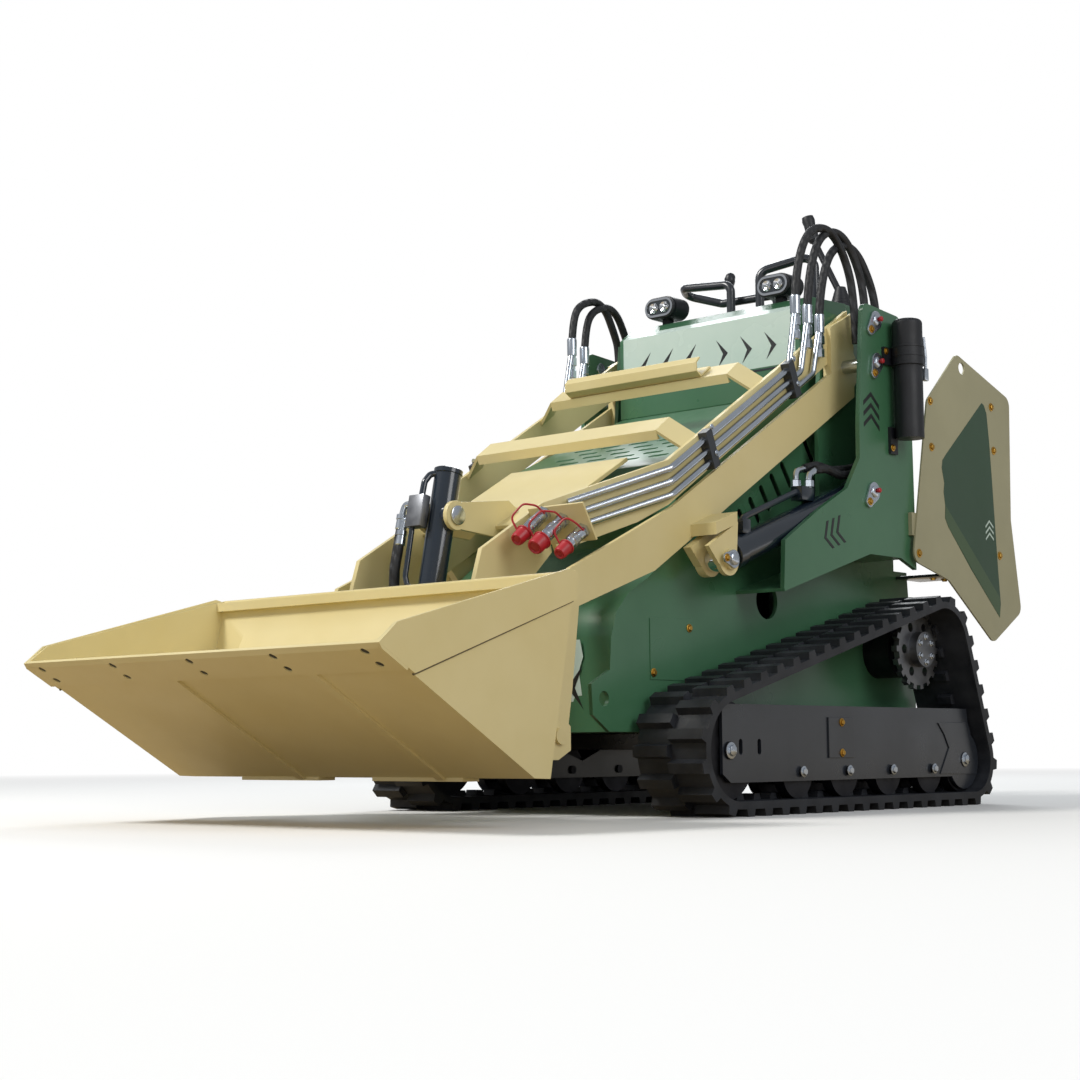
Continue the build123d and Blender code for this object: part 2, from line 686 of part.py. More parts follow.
def engine_cover():
    wall = panel_thickness
    bottom = chassis_side_top + seat
    shell = outline([(-91.0, bottom), (-75.0, 640.0), (-60.0, chassis_top_z), (-52.0, 832.0), (-20.0, 850.0),
                     (hood_front_y, hood_low_z - seat), (hood_front_y, bottom)])
    inner = outline([(-82.0, bottom - 8), (-70.0, 642.0), (-54.0, chassis_top_z), (-46.0, 828.0), (-16.0, 845.0),
                     (hood_front_y - wall, hood_low_z - 7.0), (hood_front_y - wall, bottom - 8)])
    cover = slab(shell, -cover_half, cover_half) - slab(inner, -cover_half + wall, cover_half - wall)
    cuts = []
    for row in range(5):
        for column in range(5 - row % 2):
            x = (column - 2 + 0.5 * (row % 2)) * louvre_pitch[0]
            spot = Pos(x, 15.0 + row * louvre_pitch[1], 800.0) * SlotOverall(62.0, 14.0)
            cuts.append(extrude(spot, amount=200.0, dir=(0, 0, 1)))
    for number in range(6):
        cuts += side_louvre(number)
    return cover - cuts


def rear_body():
    wall = panel_thickness
    x_range = (-cover_half, cover_half)
    shell = block(x_range, (hood_front_y + seat, chassis_rear_y), (chassis_top_z + seat, hood_low_z - seat))
    inner = block((-cover_half + wall, cover_half - wall), (hood_front_y + seat + wall, chassis_rear_y - wall),
                  (chassis_top_z - 12.0, hood_low_z - seat - wall))
    return shell - inner - side_louvre(7.2)


def console():
    return block((-hood_half, hood_half), (hood_rear_y + seat, 800.0), (hood_low_z, console_top_z))


def engine_block():
    return block((-200.0, 200.0), (-30.0, 450.0), (chassis_floor_z + chassis_plate + seat, 760.0))


def guard():
    face = outline([(953.0, 1217.0), (1246.0, 1128.0), (1233.0, 784.0), (1277.0, 527.0), (1112.0, 434.0),
                    (878.0, 593.0), (699.0, 634.0), (791.0, 1068.0)], guard_rounding)
    plate = slab(face - disc((980.0, 1180.0), 16.0), guard_x, guard_x + guard_plate)
    bracket = block((tower_far_x, guard_x), (705.0, 735.0), (700.0, 760.0))
    return plate + bracket


def work_lights():
    lamps = []
    for x in (-lamp_x, lamp_x):
        face = Plane(origin=(x, lamp_y + 30.0, lamp_z), x_dir=(1, 0, 0), z_dir=(0, -1, 0))
        lamp = extrude(face * SlotOverall(lamp_width, lamp_height), amount=60.0)
        foot = block((x - 12, x + 12), (lamp_y - 10, lamp_y + 10), (hood_roof(lamp_y + 10) + seat, lamp_z - 20.0))
        lamps.append(lamp + foot)
    return lamps


def handlebars():
    foot_z = hood_roof(640.0 + bar_radius) + seat
    end_z = console_top_z + seat
    left = [(57.0, 640.0, foot_z), (57.0, 640.0, 1462.0), (196.0, 705.0, 1497.0), (196.0, 705.0, end_z)]
    right = [(-41.0, 640.0, foot_z), (-41.0, 640.0, 1442.0), (-205.0, 640.0, 1458.0), (-240.0, 700.0, 1452.0),
             (-140.0, 735.0, 1420.0), (45.0, 740.0, 1416.0), (45.0, 740.0, end_z)]
    return [bent_tube(left, bar_radius, 30.0), bent_tube(right, bar_radius, 24.0)]


def step_platform():
    plate = block((-step_width / 2, step_width / 2), (930.0, 930.0 + step_length), (step_z, step_z + step_thickness))
    arm = disc(step_hinge, 22.0) + outline([(step_hinge_y, step_z), (940.0, step_z), (940.0, step_z + step_thickness),
                                           (step_hinge_y, step_z + step_thickness)])
    for side in (1, -1):
        ends = sorted((side * (step_lug_x - 16.0), side * (step_lug_x - 2.0)))
        plate = plate + slab(arm, *ends)
        ends = sorted((side * (step_lug_x - 4.0), side * (step_lug_x + 18.0)))
        plate = plate + shaft(step_hinge, step_pin_radius, *ends)
    return plate


def canister():
    face_x = tower_far_x + seat
    x, y = face_x + 41.0, 656.0
    rings = ((945.0, 1140.0, 37.0), (1135.0, 1188.0, 41.0), (1186.0, 1258.0, 39.0))
    pieces = [Pos(x, y, (low + high) / 2) * Cylinder(radius, high - low) for low, high, radius in rings]
    pieces[2] = fillet(pieces[2].edges().group_by(Axis.Z)[-1], 12.0)
    pieces += [block((face_x, face_x + 8.0), (594.0, 646.0), (1137.0, 1183.0)),
               block((face_x, face_x + 8.0), (616.0, 650.0), (905.0, 975.0))]
    return join(pieces)


# Pipes on the arms: three on the left arm and two on the right
tube_radius = 8.0
tube_step = 27.0
tube_x = arm_inner_x + arm_plate + tube_radius + 3.0


def arm_point(y, below):
    (back_y, back_z), (knee_y, knee_z) = inner_top
    rise = (back_z - knee_z) / (back_y - knee_y)
    return (y, knee_z + (y - knee_y) * rise - below)


def arm_tubes(radius):
    tubes = []
    for side, count in ((1, 3), (-1, 2)):
        for number in range(count):
            below = 18.0 + number * tube_step * 1.17
            elbow_y = 306.0 + number * 54.0
            knee = arm_point(inner_top[1][0], below)
            top = arm_point(elbow_y, below)
            front_y = -390.0 + number * 20.0
            reach = (front_y - knee[0] + 5) / (nose_y - inner_top[1][0])
            front = (tube_x + (arm_nose_x - arm_inner_x) * reach, front_y,
                     knee[1] + (nose_top_z - inner_top[1][1]) * reach)
            points = [(side * tube_x, top[0] + 36.0, 1262.0 - 16 * number), (side * tube_x, *top),
                      (side * tube_x, knee[0] - 5, knee[1] - 3), (side * front[0], front[1], front[2])]
            tubes.append(bent_tube(points, radius, 26.0))
    return tubes


def tube_clamps():
    clamps = []
    for y in (-62.0, 286.0):
        top = arm_point(y, -4.0)
        low = arm_point(y + 44.0, 100.0)
        shape = outline([top, (top[0] + 22, top[1] + 14), (low[0] + 12, low[1] + 7), (low[0] - 10, low[1] - 7)])
        clamp = slab(shape, arm_inner_x + arm_plate + 0.3, tube_x + tube_radius + 6.0)
        clamps += both_sides(clamp)
    bores = arm_tubes(tube_radius + wheel_gap)
    return [clamp - bores for clamp in clamps]


# Coupler bracket inside the left arm, with three capped quick couplers
slope_angle = 31.0
coupler_spots = [(232.0, -28.0), (278.0, -34.0), (322.0, -58.0)]


def bracket_frame():
    return Plane(origin=(0, bracket_y, bracket_top_z), x_dir=(1, 0, 0),
                 z_dir=(0, -math.cos(math.radians(slope_angle)), -math.sin(math.radians(slope_angle))))


def coupler_bracket():
    low, high = arm_nose_x + arm_plate + 0.3, arm_inner_x + arm_plate - 0.3
    frame = bracket_frame()
    sign = 1 if (frame.y_dir.Z < 0) else -1
    plate = frame * (Pos((low + high) / 2, sign * 46.0) * Rectangle(high - low, 92.0))
    return extrude(plate, amount=6.0)


def quick_couplers():
    frame = bracket_frame()
    sign = 1 if (frame.y_dir.Z < 0) else -1
    pieces = []
    for x, down in coupler_spots:
        spot = frame.offset(6.3) * Pos(x, -sign * down)
        body = extrude(spot * Circle(15.0), amount=34.0) + extrude(spot * Circle(11.0), amount=44.0)
        cap = extrude(frame.offset(50.8) * Pos(x, -sign * down) * Circle(18.0), amount=28.0)
        pieces += [body, cap]
    return pieces


# Lift arm prop, a rolled channel kept on the upper cross member
def safety_strut():
    (front_y, front_z), (back_y, back_z) = upper_fold
    tilt = math.degrees(math.atan2(back_z - front_z, back_y - front_y))
    shape = outline([(6.0, 0.5), (-4.0, 22.0), (8.0, 42.0), (30.0, 46.0), (31.0, 41.0), (12.0, 37.5), (2.5, 22.0),
                     (10.0, 5.5), (56.0, 5.5), (56.0, 0.5)])
    return slab(Pos(front_y, front_z) * Rot(0, 0, tilt) * shape, -225.0, 210.0)


def control_levers():
    rest = console_top_z + seat
    base = block((-140.0, 20.0), (700.0, 760.0), (rest, rest + 20.0))
    lever = rod_between((-84.0, 712.0, rest + 10.0), (-84.0, 700.0, 1470.0), 6.0)
    knob = Pos(-84.0, 699.0, 1480.0) * Sphere(14.0)
    boot = Pos(258.0, 735.0, rest + 30.0) * Cone(32.0, 14.0, 60.0)
    grip_low = (180.0, 727.0, 1545.0)
    stick = rod_between((258.0, 735.0, rest + 40.0), grip_low, 9.0)
    grip = rod_between(grip_low, (165.0, 722.0, 1612.0), 16.0)
    return [base + lever + knob, join([boot, stick, grip])]


def hose_points(side, number):
    x = side * tube_x
    start_y = 342.0 + number * 54.0
    lift = 6.0 * number
    top_z = 1262.0 - 16 * number
    return [(x, start_y, top_z + 2.0), (x, start_y + 4, top_z + 90.0), (x + side * 6, start_y + 60, 1420.0 + lift),
            (x + side * 14, start_y + 150, 1440.0 + lift), (x + side * 22, start_y + 214, 1370.0),
            (x + side * 26, start_y + 236, 1290.0), (x + side * 26, start_y + 240, 1200.0)]


def lift_hoses():
    hoses = []
    for side, count in ((1, 3), (-1, 2)):
        for number in range(count):
            hoses.append(bent_tube(hose_points(side, number), 11.0, 34.0))
    return hoses


# Write the nodes
belt = track_belt()
add_pair("track", belt)
add_pair("track_frame", track_frame())
wheels_left = rollers() + [idler(front_idler, front_idler_outer), idler(rear_idler, rear_idler_outer)]
parts["track_rollers_left"] = Compound(wheels_left)
parts["track_rollers_right"] = Compound([mirror(wheel, about=Plane.YZ) for wheel in wheels_left])
for name, shape in (("drive_sprocket", sprocket_wheel()), ("drive_motor", drive_motor()), ("tower", tower()),
                    ("loader_arm", arm_side()), ("lift_barrel", lift_barrel()), ("lift_rod", lift_rod())):
    add_pair(name, shape)
pins = tower_pins()
parts["tower_pins"] = Compound(pins + [mirror(pin, about=Plane.YZ) for pin in pins])
parts["rear_guards"] = Compound(both_sides(guard()))
cross_pair = [cross_member(*fold, 52.0) for fold in (lower_fold, upper_fold)]
for name, solids in (("cross_members", cross_pair), ("arm_tubes", arm_tubes(tube_radius)),
                     ("tube_clamps", tube_clamps()), ("undercarriage", undercarriage()),
                     ("quick_couplers", quick_couplers()), ("work_lights", work_lights()),
                     ("handlebars", handlebars()), ("control_levers", control_levers()),
                     ("lift_hoses", lift_hoses())):
    parts[name] = Compound(solids)
for name, shape in (("main_frame", main_frame()), ("lower_cross_plate", lower_cross_plate()), ("safety_strut", safety_strut()),
                    ("coupler_bracket", coupler_bracket()), ("tilt_barrel", tilt_barrel()),
                    ("tilt_rod", tilt_rod()), ("bucket_shell", bucket_shell()),
                    ("cutting_edge", cutting_edge()), ("hitch_plate", hitch_plate()),
                    ("hood_front", hood_front()), ("engine_cover", engine_cover()),
                    ("rear_body", rear_body()), ("console", console()), ("engine_block", engine_block()),
                    ("step_platform", step_platform()), ("document_canister", canister())):
    parts[name] = shape

for name, shape in parts.items():
    export_step(shape if isinstance(shape, Compound) else Compound([shape]), f"parts/{name}.step")
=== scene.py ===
import json
import math

import bpy
from mathutils import Matrix, Vector


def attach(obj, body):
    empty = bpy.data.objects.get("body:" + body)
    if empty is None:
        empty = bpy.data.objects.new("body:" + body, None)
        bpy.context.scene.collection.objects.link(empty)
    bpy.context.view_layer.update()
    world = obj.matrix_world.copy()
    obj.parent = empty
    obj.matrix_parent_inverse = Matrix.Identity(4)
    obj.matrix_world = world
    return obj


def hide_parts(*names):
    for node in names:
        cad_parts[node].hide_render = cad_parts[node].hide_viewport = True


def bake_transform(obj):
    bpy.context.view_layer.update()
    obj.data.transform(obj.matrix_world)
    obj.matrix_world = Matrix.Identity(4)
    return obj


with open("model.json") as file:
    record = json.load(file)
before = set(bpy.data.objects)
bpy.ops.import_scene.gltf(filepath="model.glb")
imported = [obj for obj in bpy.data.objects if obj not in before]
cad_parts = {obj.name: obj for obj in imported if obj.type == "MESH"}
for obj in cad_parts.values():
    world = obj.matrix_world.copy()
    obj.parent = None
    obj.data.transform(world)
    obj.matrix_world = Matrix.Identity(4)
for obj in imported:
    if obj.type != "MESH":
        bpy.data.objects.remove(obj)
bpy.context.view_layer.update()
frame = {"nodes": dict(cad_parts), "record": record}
NODES = frame["nodes"]
BODY_OF = {node: body for body, nodes in frame["record"]["behaviour"]["bodies"].items() for node in nodes}
SLOT_OF = {part["node"]: part["material_slot"] for part in frame["record"]["subparts"]}

# Lengths in this script are millimetres in the machine's own frame; finished meshes are metres
MM = 0.001

# Camera of the photograph: place in metres, angles in degrees
CAMERA_PLACE = (3.0373, -3.6242, 0.1544)
CAMERA_AZIMUTH = 41.707
CAMERA_RISE = 6.238
CAMERA_ROLL = -0.392
CAMERA_LENS = 63.56

# Sheets and plates that details sit on
TOWER_FACE_X = 467.0
GUARD_FACE_X = 483.0
SIDE_FACE_X = 325.0
TRACK_FRAME_FACE_X = 503.0
HOOD_FACE_Y = 465.2
CHASSIS_FRONT_Y = -351.0
MARK_THICKNESS = 0.5

# The machine's left, which is also outward on its left side
OUTWARD = (1, 0, 0)
SIDES = ("left", "right")

# Patches of colour and gloss in paint and the peel of its surface, in millimetres
PAINT_PATCH = 420.0
GLOSS_PATCH = 160.0
PEEL_DEPTH = 0.10

# How the CAD's own forms are eased: lengths in metres, angles in degrees
WELD_DISTANCE = 0.00002
FLAT_ANGLE = 0.6
EDGE_ANGLE = 38.0
EASED_SHADE_ANGLE = 50.0
PLAIN_SHADE_ANGLE = 30.0
FACE_WEIGHT = 100


def linear(code):
    """A hex sRGB colour as Blender's linear colour."""
    channels = [int(code[start:start + 2], 16) / 255 for start in (1, 3, 5)]
    return [c / 12.92 if c <= 0.04045 else ((c + 0.055) / 1.055) ** 2.4 for c in channels] + [1.0]


def add(tree, kind, values=None, links=None, **settings):
    """One shader node, with its settings, its sockets' values and what comes into it."""
    node = tree.nodes.new("ShaderNode" + kind)
    for name, value in settings.items():
        setattr(node, name, value)
    for name, value in (values or {}).items():
        node.inputs[name].default_value = value
    for name, source in (links or {}).items():
        tree.links.new(source, node.inputs[name])
    return node


def new_material(name, **values):
    """A material whose shader has the given socket values; returns it, its tree, shader and coordinates."""
    material = bpy.data.materials.new(name)
    material.use_nodes = True
    tree = material.node_tree
    shader = tree.nodes["Principled BSDF"]
    for socket, value in values.items():
        shader.inputs[socket.replace("_", " ")].default_value = value
    coordinates = add(tree, "TexCoord").outputs["Object"]
    return material, tree, shader, coordinates


def per_metre(size_mm):
    """How many patches of a size lie along a metre, as textures take it."""
    return 1000.0 / size_mm


def mottled(tree, coordinates, low, high, size_mm, detail=4.0):
    """A colour that wanders between two hex values in patches of the given size."""
    patches = add(tree, "TexNoise", {"Scale": per_metre(size_mm), "Detail": detail, "Roughness": 0.6},
                  {"Vector": coordinates})
    ramp = add(tree, "ValToRGB", links={"Fac": patches.outputs["Fac"]})
    for stop, position, colour in zip(ramp.color_ramp.elements, (0.32, 0.68), (low, high)):
        stop.position = position
        stop.color = linear(colour)
    return ramp.outputs["Color"]


def emboss(tree, shader, texture, strength, depth_mm):
    """Raises a texture as a bump of the given depth."""
    bump = add(tree, "Bump", {"Strength": strength, "Distance": depth_mm * MM},
               {"Height": texture.outputs["Fac"]})
    tree.links.new(bump.outputs["Normal"], shader.inputs["Normal"])


def grain(tree, shader, coordinates, size_mm, depth_mm):
    """A fine bump of grains of the given size and depth."""
    texture = add(tree, "TexNoise", {"Scale": per_metre(size_mm), "Detail": 2.0}, {"Vector": coordinates})
    emboss(tree, shader, texture, 0.5, depth_mm)


def varied_roughness(tree, shader, coordinates, low, high, size_mm):
    """Roughness that wanders, as on handled or dusty surfaces."""
    patches = add(tree, "TexNoise", {"Scale": per_metre(size_mm), "Detail": 3.0}, {"Vector": coordinates})
    spread = add(tree, "MapRange", {"From Min": 0.3, "From Max": 0.7, "To Min": low, "To Max": high},
                 {"Value": patches.outputs["Fac"]})
    tree.links.new(spread.outputs["Result"], shader.inputs["Roughness"])


def powder_coat(name, low, high, roughness=(0.34, 0.48), coat=0.25, peel_mm=5.0):
    """Powder-coated steel: an even colour, a soft gloss and the slight orange peel of the baked coat."""
    material, tree, shader, coordinates = new_material(name, Coat_Weight=coat, Coat_Roughness=0.22)
    tree.links.new(mottled(tree, coordinates, low, high, PAINT_PATCH), shader.inputs["Base Color"])
    varied_roughness(tree, shader, coordinates, *roughness, GLOSS_PATCH)
    # Peel is 1 to 2 mm on the real coat and drawn coarser here so that it shows
    grain(tree, shader, coordinates, peel_mm, PEEL_DEPTH)
    return material


def track_rubber():
    """Moulded track rubber: near black, dull and unevenly scuffed."""
    material, tree, shader, coordinates = new_material("moulded_track_rubber", Specular_IOR_Level=0.4)
    tree.links.new(mottled(tree, coordinates, "#1D2026", "#34373D", 60.0, 8.0), shader.inputs["Base Color"])
    varied_roughness(tree, shader, coordinates, 0.42, 0.68, 30.0)
    grain(tree, shader, coordinates, 4.0, 0.35)
    return material


def hose_rubber():
    """Braided hydraulic hose under its cover: black with the spiral of the cloth wrap."""
    material, tree, shader, coordinates = new_material("wrapped_hydraulic_hose", Roughness=0.55)
    tree.links.new(mottled(tree, coordinates, "#15161A", "#26282C", 18.0), shader.inputs["Base Color"])
    wrap = add(tree, "TexWave", {"Scale": per_metre(55.0), "Distortion": 1.0}, {"Vector": coordinates},
               wave_type="BANDS", bands_direction="DIAGONAL")
    emboss(tree, shader, wrap, 0.9, 1.6)
    return material


def metal(name, low, high, roughness, size_mm=12.0, depth_mm=0.05):
    """Bare or plated metal with slightly uneven polish, and a fine grain where a depth is given."""
    material, tree, shader, coordinates = new_material(name, Metallic=1.0)
    tree.links.new(mottled(tree, coordinates, low, high, size_mm * 6), shader.inputs["Base Color"])
    varied_roughness(tree, shader, coordinates, *roughness, size_mm * 3)
    if depth_mm:
        grain(tree, shader, coordinates, size_mm, depth_mm)
    return material


def moulded_plastic(name, low, high, roughness=(0.4, 0.55)):
    """Injection-moulded plastic with a fine etched texture."""
    material, tree, shader, coordinates = new_material(name)
    tree.links.new(mottled(tree, coordinates, low, high, 90.0), shader.inputs["Base Color"])
    varied_roughness(tree, shader, coordinates, *roughness, 50.0)
    grain(tree, shader, coordinates, 3.0, 0.08)
    return material


def lamp_lens():
    """The dark clear glass over a work lamp."""
    material, _, shader, _ = new_material("clear_lamp_lens", Roughness=0.04, Coat_Weight=1.0)
    shader.inputs["Base Color"].default_value = linear("#2A3138")
    return material


SAND = powder_coat("sand_powder_coat", "#DACA90", "#E3D5A1")
GREEN = powder_coat("green_powder_coat", "#3D6C4D", "#487858", (0.26, 0.40), 0.4)
MINT = powder_coat("pale_green_enamel", "#C3D9CF", "#D2E3DB", (0.2, 0.32), 0.5)
# The guards wear the same sand powder coat; this darker copy of it is painted shade, for their outward faces
# that lie in shade
GUARD_PAINTED_SHADE = powder_coat("sand_powder_coat_painted_shade", "#A19E80", "#ADAA8A", (0.45, 0.6), 0.1)
BLACK = powder_coat("black_chassis_enamel", "#20242B", "#2B3038", (0.24, 0.4), 0.5)
NAVY = powder_coat("dark_cylinder_enamel", "#16202C", "#202B38", (0.12, 0.22), 0.6)
DARK_GREEN = powder_coat("dark_green_vinyl", "#2A4731", "#2F4E36", (0.4, 0.5), 0.1)
LEAF_GREEN = powder_coat("leaf_green_vinyl", "#41593A", "#465F3D", (0.4, 0.5), 0.1)
# Black vinyl for the marks; the same black is also painted shade in the insides of the lip's bolt holes
MARK_BLACK_AND_PAINTED_SHADE = powder_coat("black_marking_vinyl_and_painted_shade", "#15181A", "#1D2022", (0.35, 0.5), 0.1)
RED = powder_coat("red_rubber_caps", "#A81E28", "#BE2B34", (0.35, 0.5), 0.0)
RUBBER = track_rubber()
HOSE = hose_rubber()
ZINC = metal("bright_zinc_plate", "#C0C7D0", "#D0D7E0", (0.2, 0.27), 25.0, 0.0)
WORN_STEEL = metal("worn_cast_steel", "#787A7F", "#939599", (0.36, 0.5), 10.0, 0.04)
CHROME = metal("hard_chrome", "#D5D8DC", "#E2E4E7", (0.05, 0.1))
# A real bead whose dark colour is painted shadow: it stands for the shadow gap under the side cutters' proud
# edges
WELD_PAINTED_SHADOW = powder_coat("weld_bead_painted_shadow", "#5E5844", "#6E6750", (0.5, 0.65), 0.0)
BRASS = metal("yellow_zinc_bolts", "#B88A34", "#CFA550", (0.25, 0.4))
IRON = metal("oiled_cast_iron", "#34353A", "#45464B", (0.4, 0.6), 8.0, 0.2)
PLASTIC = moulded_plastic("black_moulded_plastic", "#121419", "#1C1F26")
LENS = lamp_lens()

NODE_MATERIAL = {
    "sand_paint": SAND, "green_paint": GREEN, "guard_paint": GUARD_PAINTED_SHADE, "black_paint": BLACK,
    "cylinder_paint": NAVY, "track_rubber": RUBBER, "hose_rubber": HOSE, "plated_steel": ZINC,
    "rod_chrome": CHROME, "bare_iron": IRON, "black_plastic": PLASTIC,
}

# The slot that each finish of the added pieces belongs to
FINISHES = {
    "plated_steel": (ZINC, BRASS, RED, LENS, WORN_STEEL), "rod_chrome": (CHROME,),
    "black_plastic": (PLASTIC,),
    "black_paint": (BLACK, MARK_BLACK_AND_PAINTED_SHADE), "green_paint": (GREEN, MINT, DARK_GREEN, LEAF_GREEN),
    "cylinder_paint": (NAVY,), "hose_rubber": (HOSE,), "sand_paint": (WELD_PAINTED_SHADOW,),
}
SLOT_OF_FINISH = {finish.name: slot for slot, finishes in FINISHES.items() for finish in finishes}


def new_object(name, data):
    """An object in the scene that shows the given data."""
    thing = bpy.data.objects.new(name, data)
    bpy.context.scene.collection.objects.link(thing)
    return thing


def clear_selection():
    """Leaves edit mode with nothing selected."""
    if bpy.context.object and bpy.context.object.mode != "OBJECT":
        bpy.ops.object.mode_set(mode="OBJECT")
    for thing in bpy.context.selected_objects:
        thing.select_set(False)


def only(piece):
    """Makes one piece the selected and active one."""
    clear_selection()
    piece.select_set(True)
    bpy.context.view_layer.objects.active = piece


def apply_modifiers(piece):
    """Turns the piece's modifiers into its mesh."""
    only(piece)
    for modifier in list(piece.modifiers):
        bpy.ops.object.modifier_apply(modifier=modifier.name)


def smooth(piece, angle=35.0):
    """Smooth shading over bends that are softer than the angle in degrees."""
    only(piece)
    bpy.ops.object.shade_smooth_by_angle(angle=math.radians(angle))


def as_mesh(piece):
    """The piece, changed from a curve into its mesh."""
    only(piece)
    bpy.ops.object.convert(target="MESH")
    return bpy.context.object


def paint(piece, material):
    """Covers the whole piece with one material."""
    piece.data.materials.clear()
    piece.data.materials.append(material)
    for polygon in piece.data.polygons:
        polygon.material_index = 0


def settle(piece, name, body, material):
    """Puts the piece's place into its mesh in metres and says what it is and rides on."""
    piece.data.transform(Matrix.Scale(MM, 4) @ piece.matrix_world)
    piece.matrix_world = Matrix.Identity(4)
    piece.name = name
    piece.data.name = name
    paint(piece, material)
    smooth(piece)
    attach(piece, body)


def joined(pieces, name):
    """Several meshes as one, in the first one's place."""
    clear_selection()
    for piece in pieces:
        piece.select_set(True)
    bpy.context.view_layer.objects.active = pieces[0]
    bpy.ops.object.join()
    pieces[0].name = name
    return pieces[0]


def eased(node, width_mm, merge_flats=True, material=None):
    """A CAD node's own form with its edges eased, as rolled, cut and coated steel has them."""
    piece = new_object("eased_" + node, NODES[node].data.copy())
    only(piece)
    bpy.ops.object.mode_set(mode="EDIT")
    bpy.ops.mesh.select_all(action="SELECT")
    bpy.ops.mesh.remove_doubles(threshold=WELD_DISTANCE)
    if merge_flats:
        bpy.ops.mesh.dissolve_limited(angle_limit=math.radians(FLAT_ANGLE))
    bpy.ops.object.mode_set(mode="OBJECT")
    bevel = piece.modifiers.new("eased edges", "BEVEL")
    bevel.width = width_mm * MM
    bevel.segments = 2
    bevel.limit_method = "ANGLE"
    bevel.angle_limit = math.radians(EDGE_ANGLE)
    bevel.use_clamp_overlap = True
    apply_modifiers(piece)
    paint(piece, material or NODE_MATERIAL[SLOT_OF[node]])
    smooth(piece, EASED_SHADE_ANGLE)
    # Wide faces keep their own direction, so that sheet metal looks flat up to its eased edge
    flat = piece.modifiers.new("flat faces", "WEIGHTED_NORMAL")
    flat.weight = FACE_WEIGHT
    flat.keep_sharp = True
    apply_modifiers(piece)
    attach(piece, BODY_OF[node])
    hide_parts(node)
    return piece


# Frames that stand a flat drawing up on a side or a front face, with its thickness outward
SIDE_VIEW = Matrix(((0, 0, 1), (1, 0, 0), (0, 1, 0))).to_4x4()
FRONT_VIEW = Matrix(((1, 0, 0), (0, 0, -1), (0, 1, 0))).to_4x4()


def add_line(drawing, kind, points):
    """A spline of the given kind through points of three values."""
    spline = drawing.splines.new(kind)
    spline.points.add(len(points) - 1)
    for point, place in zip(spline.points, points):
        point.co = (*place, 1.0)
    return spline


def plate(points, thickness, place, bevel=0.0):
    """A flat plate cut to an outline, lying on the place's plane and standing out from it."""
    drawing = bpy.data.curves.new("outline", "CURVE")
    drawing.dimensions = "2D"
    drawing.fill_mode = "BOTH"
    drawing.extrude = max(thickness / 2 - bevel, 0.01)
    drawing.bevel_depth = bevel
    drawing.bevel_resolution = 1
    drawing.offset = -bevel
    add_line(drawing, "POLY", [(across, up, 0.0) for across, up in points]).use_cyclic_u = True
    piece = as_mesh(new_object("outline", drawing))
    piece.matrix_world = place @ Matrix.Translation((0, 0, thickness / 2))
    bpy.ops.object.transform_apply()
    return piece


def turned(rings, place, sides=32):
    """A turned piece from rings of (distance along the axis, radius), closed at both ends."""
    clear_selection()
    first_height, first_radius = rings[0]
    bpy.ops.mesh.primitive_circle_add(vertices=sides, radius=first_radius, fill_type="NGON")
    piece = bpy.context.object
    bpy.ops.object.mode_set(mode="EDIT")
    bpy.ops.mesh.select_all(action="SELECT")
    for (height, radius), (next_height, next_radius) in zip(rings, rings[1:]):
        bpy.ops.mesh.extrude_region_move(TRANSFORM_OT_translate={"value": (0, 0, next_height - height)})
        if next_radius != radius:
            share = next_radius / radius
            middle = (0, 0, next_height - first_height)
            bpy.ops.transform.resize(value=(share, share, 1.0), center_override=middle)
    bpy.ops.mesh.select_all(action="SELECT")
    bpy.ops.mesh.normals_make_consistent(inside=False)
    bpy.ops.object.mode_set(mode="OBJECT")
    piece.matrix_world = place @ Matrix.Translation((0, 0, first_height))
    bpy.ops.object.transform_apply()
    return piece


def aimed(point, direction):
    """A place at a point whose third way points along a direction."""
    turn = Vector(direction).to_track_quat("Z", "Y").to_matrix().to_4x4()
    return Matrix.Translation(point) @ turn


def bolt(point, direction, head=8.0, height=6.0):
    """A hexagon bolt head on its washer, with an eased top."""
    washer = turned([(0.0, head * 1.45), (1.6, head * 1.45), (2.0, head * 1.35)], aimed(point, direction), 20)
    top = turned([(1.8, head), (height, head), (height + 1.2, head * 0.82)], aimed(point, direction), 6)
    return joined([washer, top], "bolt")


def make_stage():
    """A plain pale floor and backdrop that carry no pattern."""
    clear_selection()
    bpy.ops.mesh.primitive_plane_add(size=60.0)
    floor = bpy.context.object
    floor.name = "pale_floor"
    material, tree, shader, _ = new_material("pale_studio_floor", Roughness=0.9)
    floor.data.materials.append(material)
    path = add(tree, "LightPath")
    # The floor is white to the eye; what it throws back on the machine's underside is softer and warm
    tone = add(tree, "MixRGB", {"Color1": linear("#A8977A"), "Color2": linear("#F1F1F0")},
               {"Fac": path.outputs["Is Camera Ray"]})
    tree.links.new(tone.outputs["Color"], shader.inputs["Base Color"])
    white = add(tree, "Emission", {"Color": (1, 1, 1, 1), "Strength": 1.0})
    far = add(tree, "VectorMath", links={0: add(tree, "NewGeometry").outputs["Position"]}, operation="LENGTH")
    fade = add(tree, "MapRange", {"From Min": 3.0, "From Max": 9.0, "To Min": 0.0, "To Max": 1.0},
               {"Value": far.outputs["Value"]})
    seen = add(tree, "Math", links={0: path.outputs["Is Camera Ray"], 1: path.outputs["Is Glossy Ray"]},
               operation="MAXIMUM")
    share = add(tree, "Math", links={0: seen.outputs[0], 1: fade.outputs["Result"]}, operation="MULTIPLY")
    mix = add(tree, "MixShader", links={0: share.outputs[0], 1: shader.outputs[0], 2: white.outputs[0]})
    tree.links.new(mix.outputs[0], tree.nodes["Material Output"].inputs["Surface"])


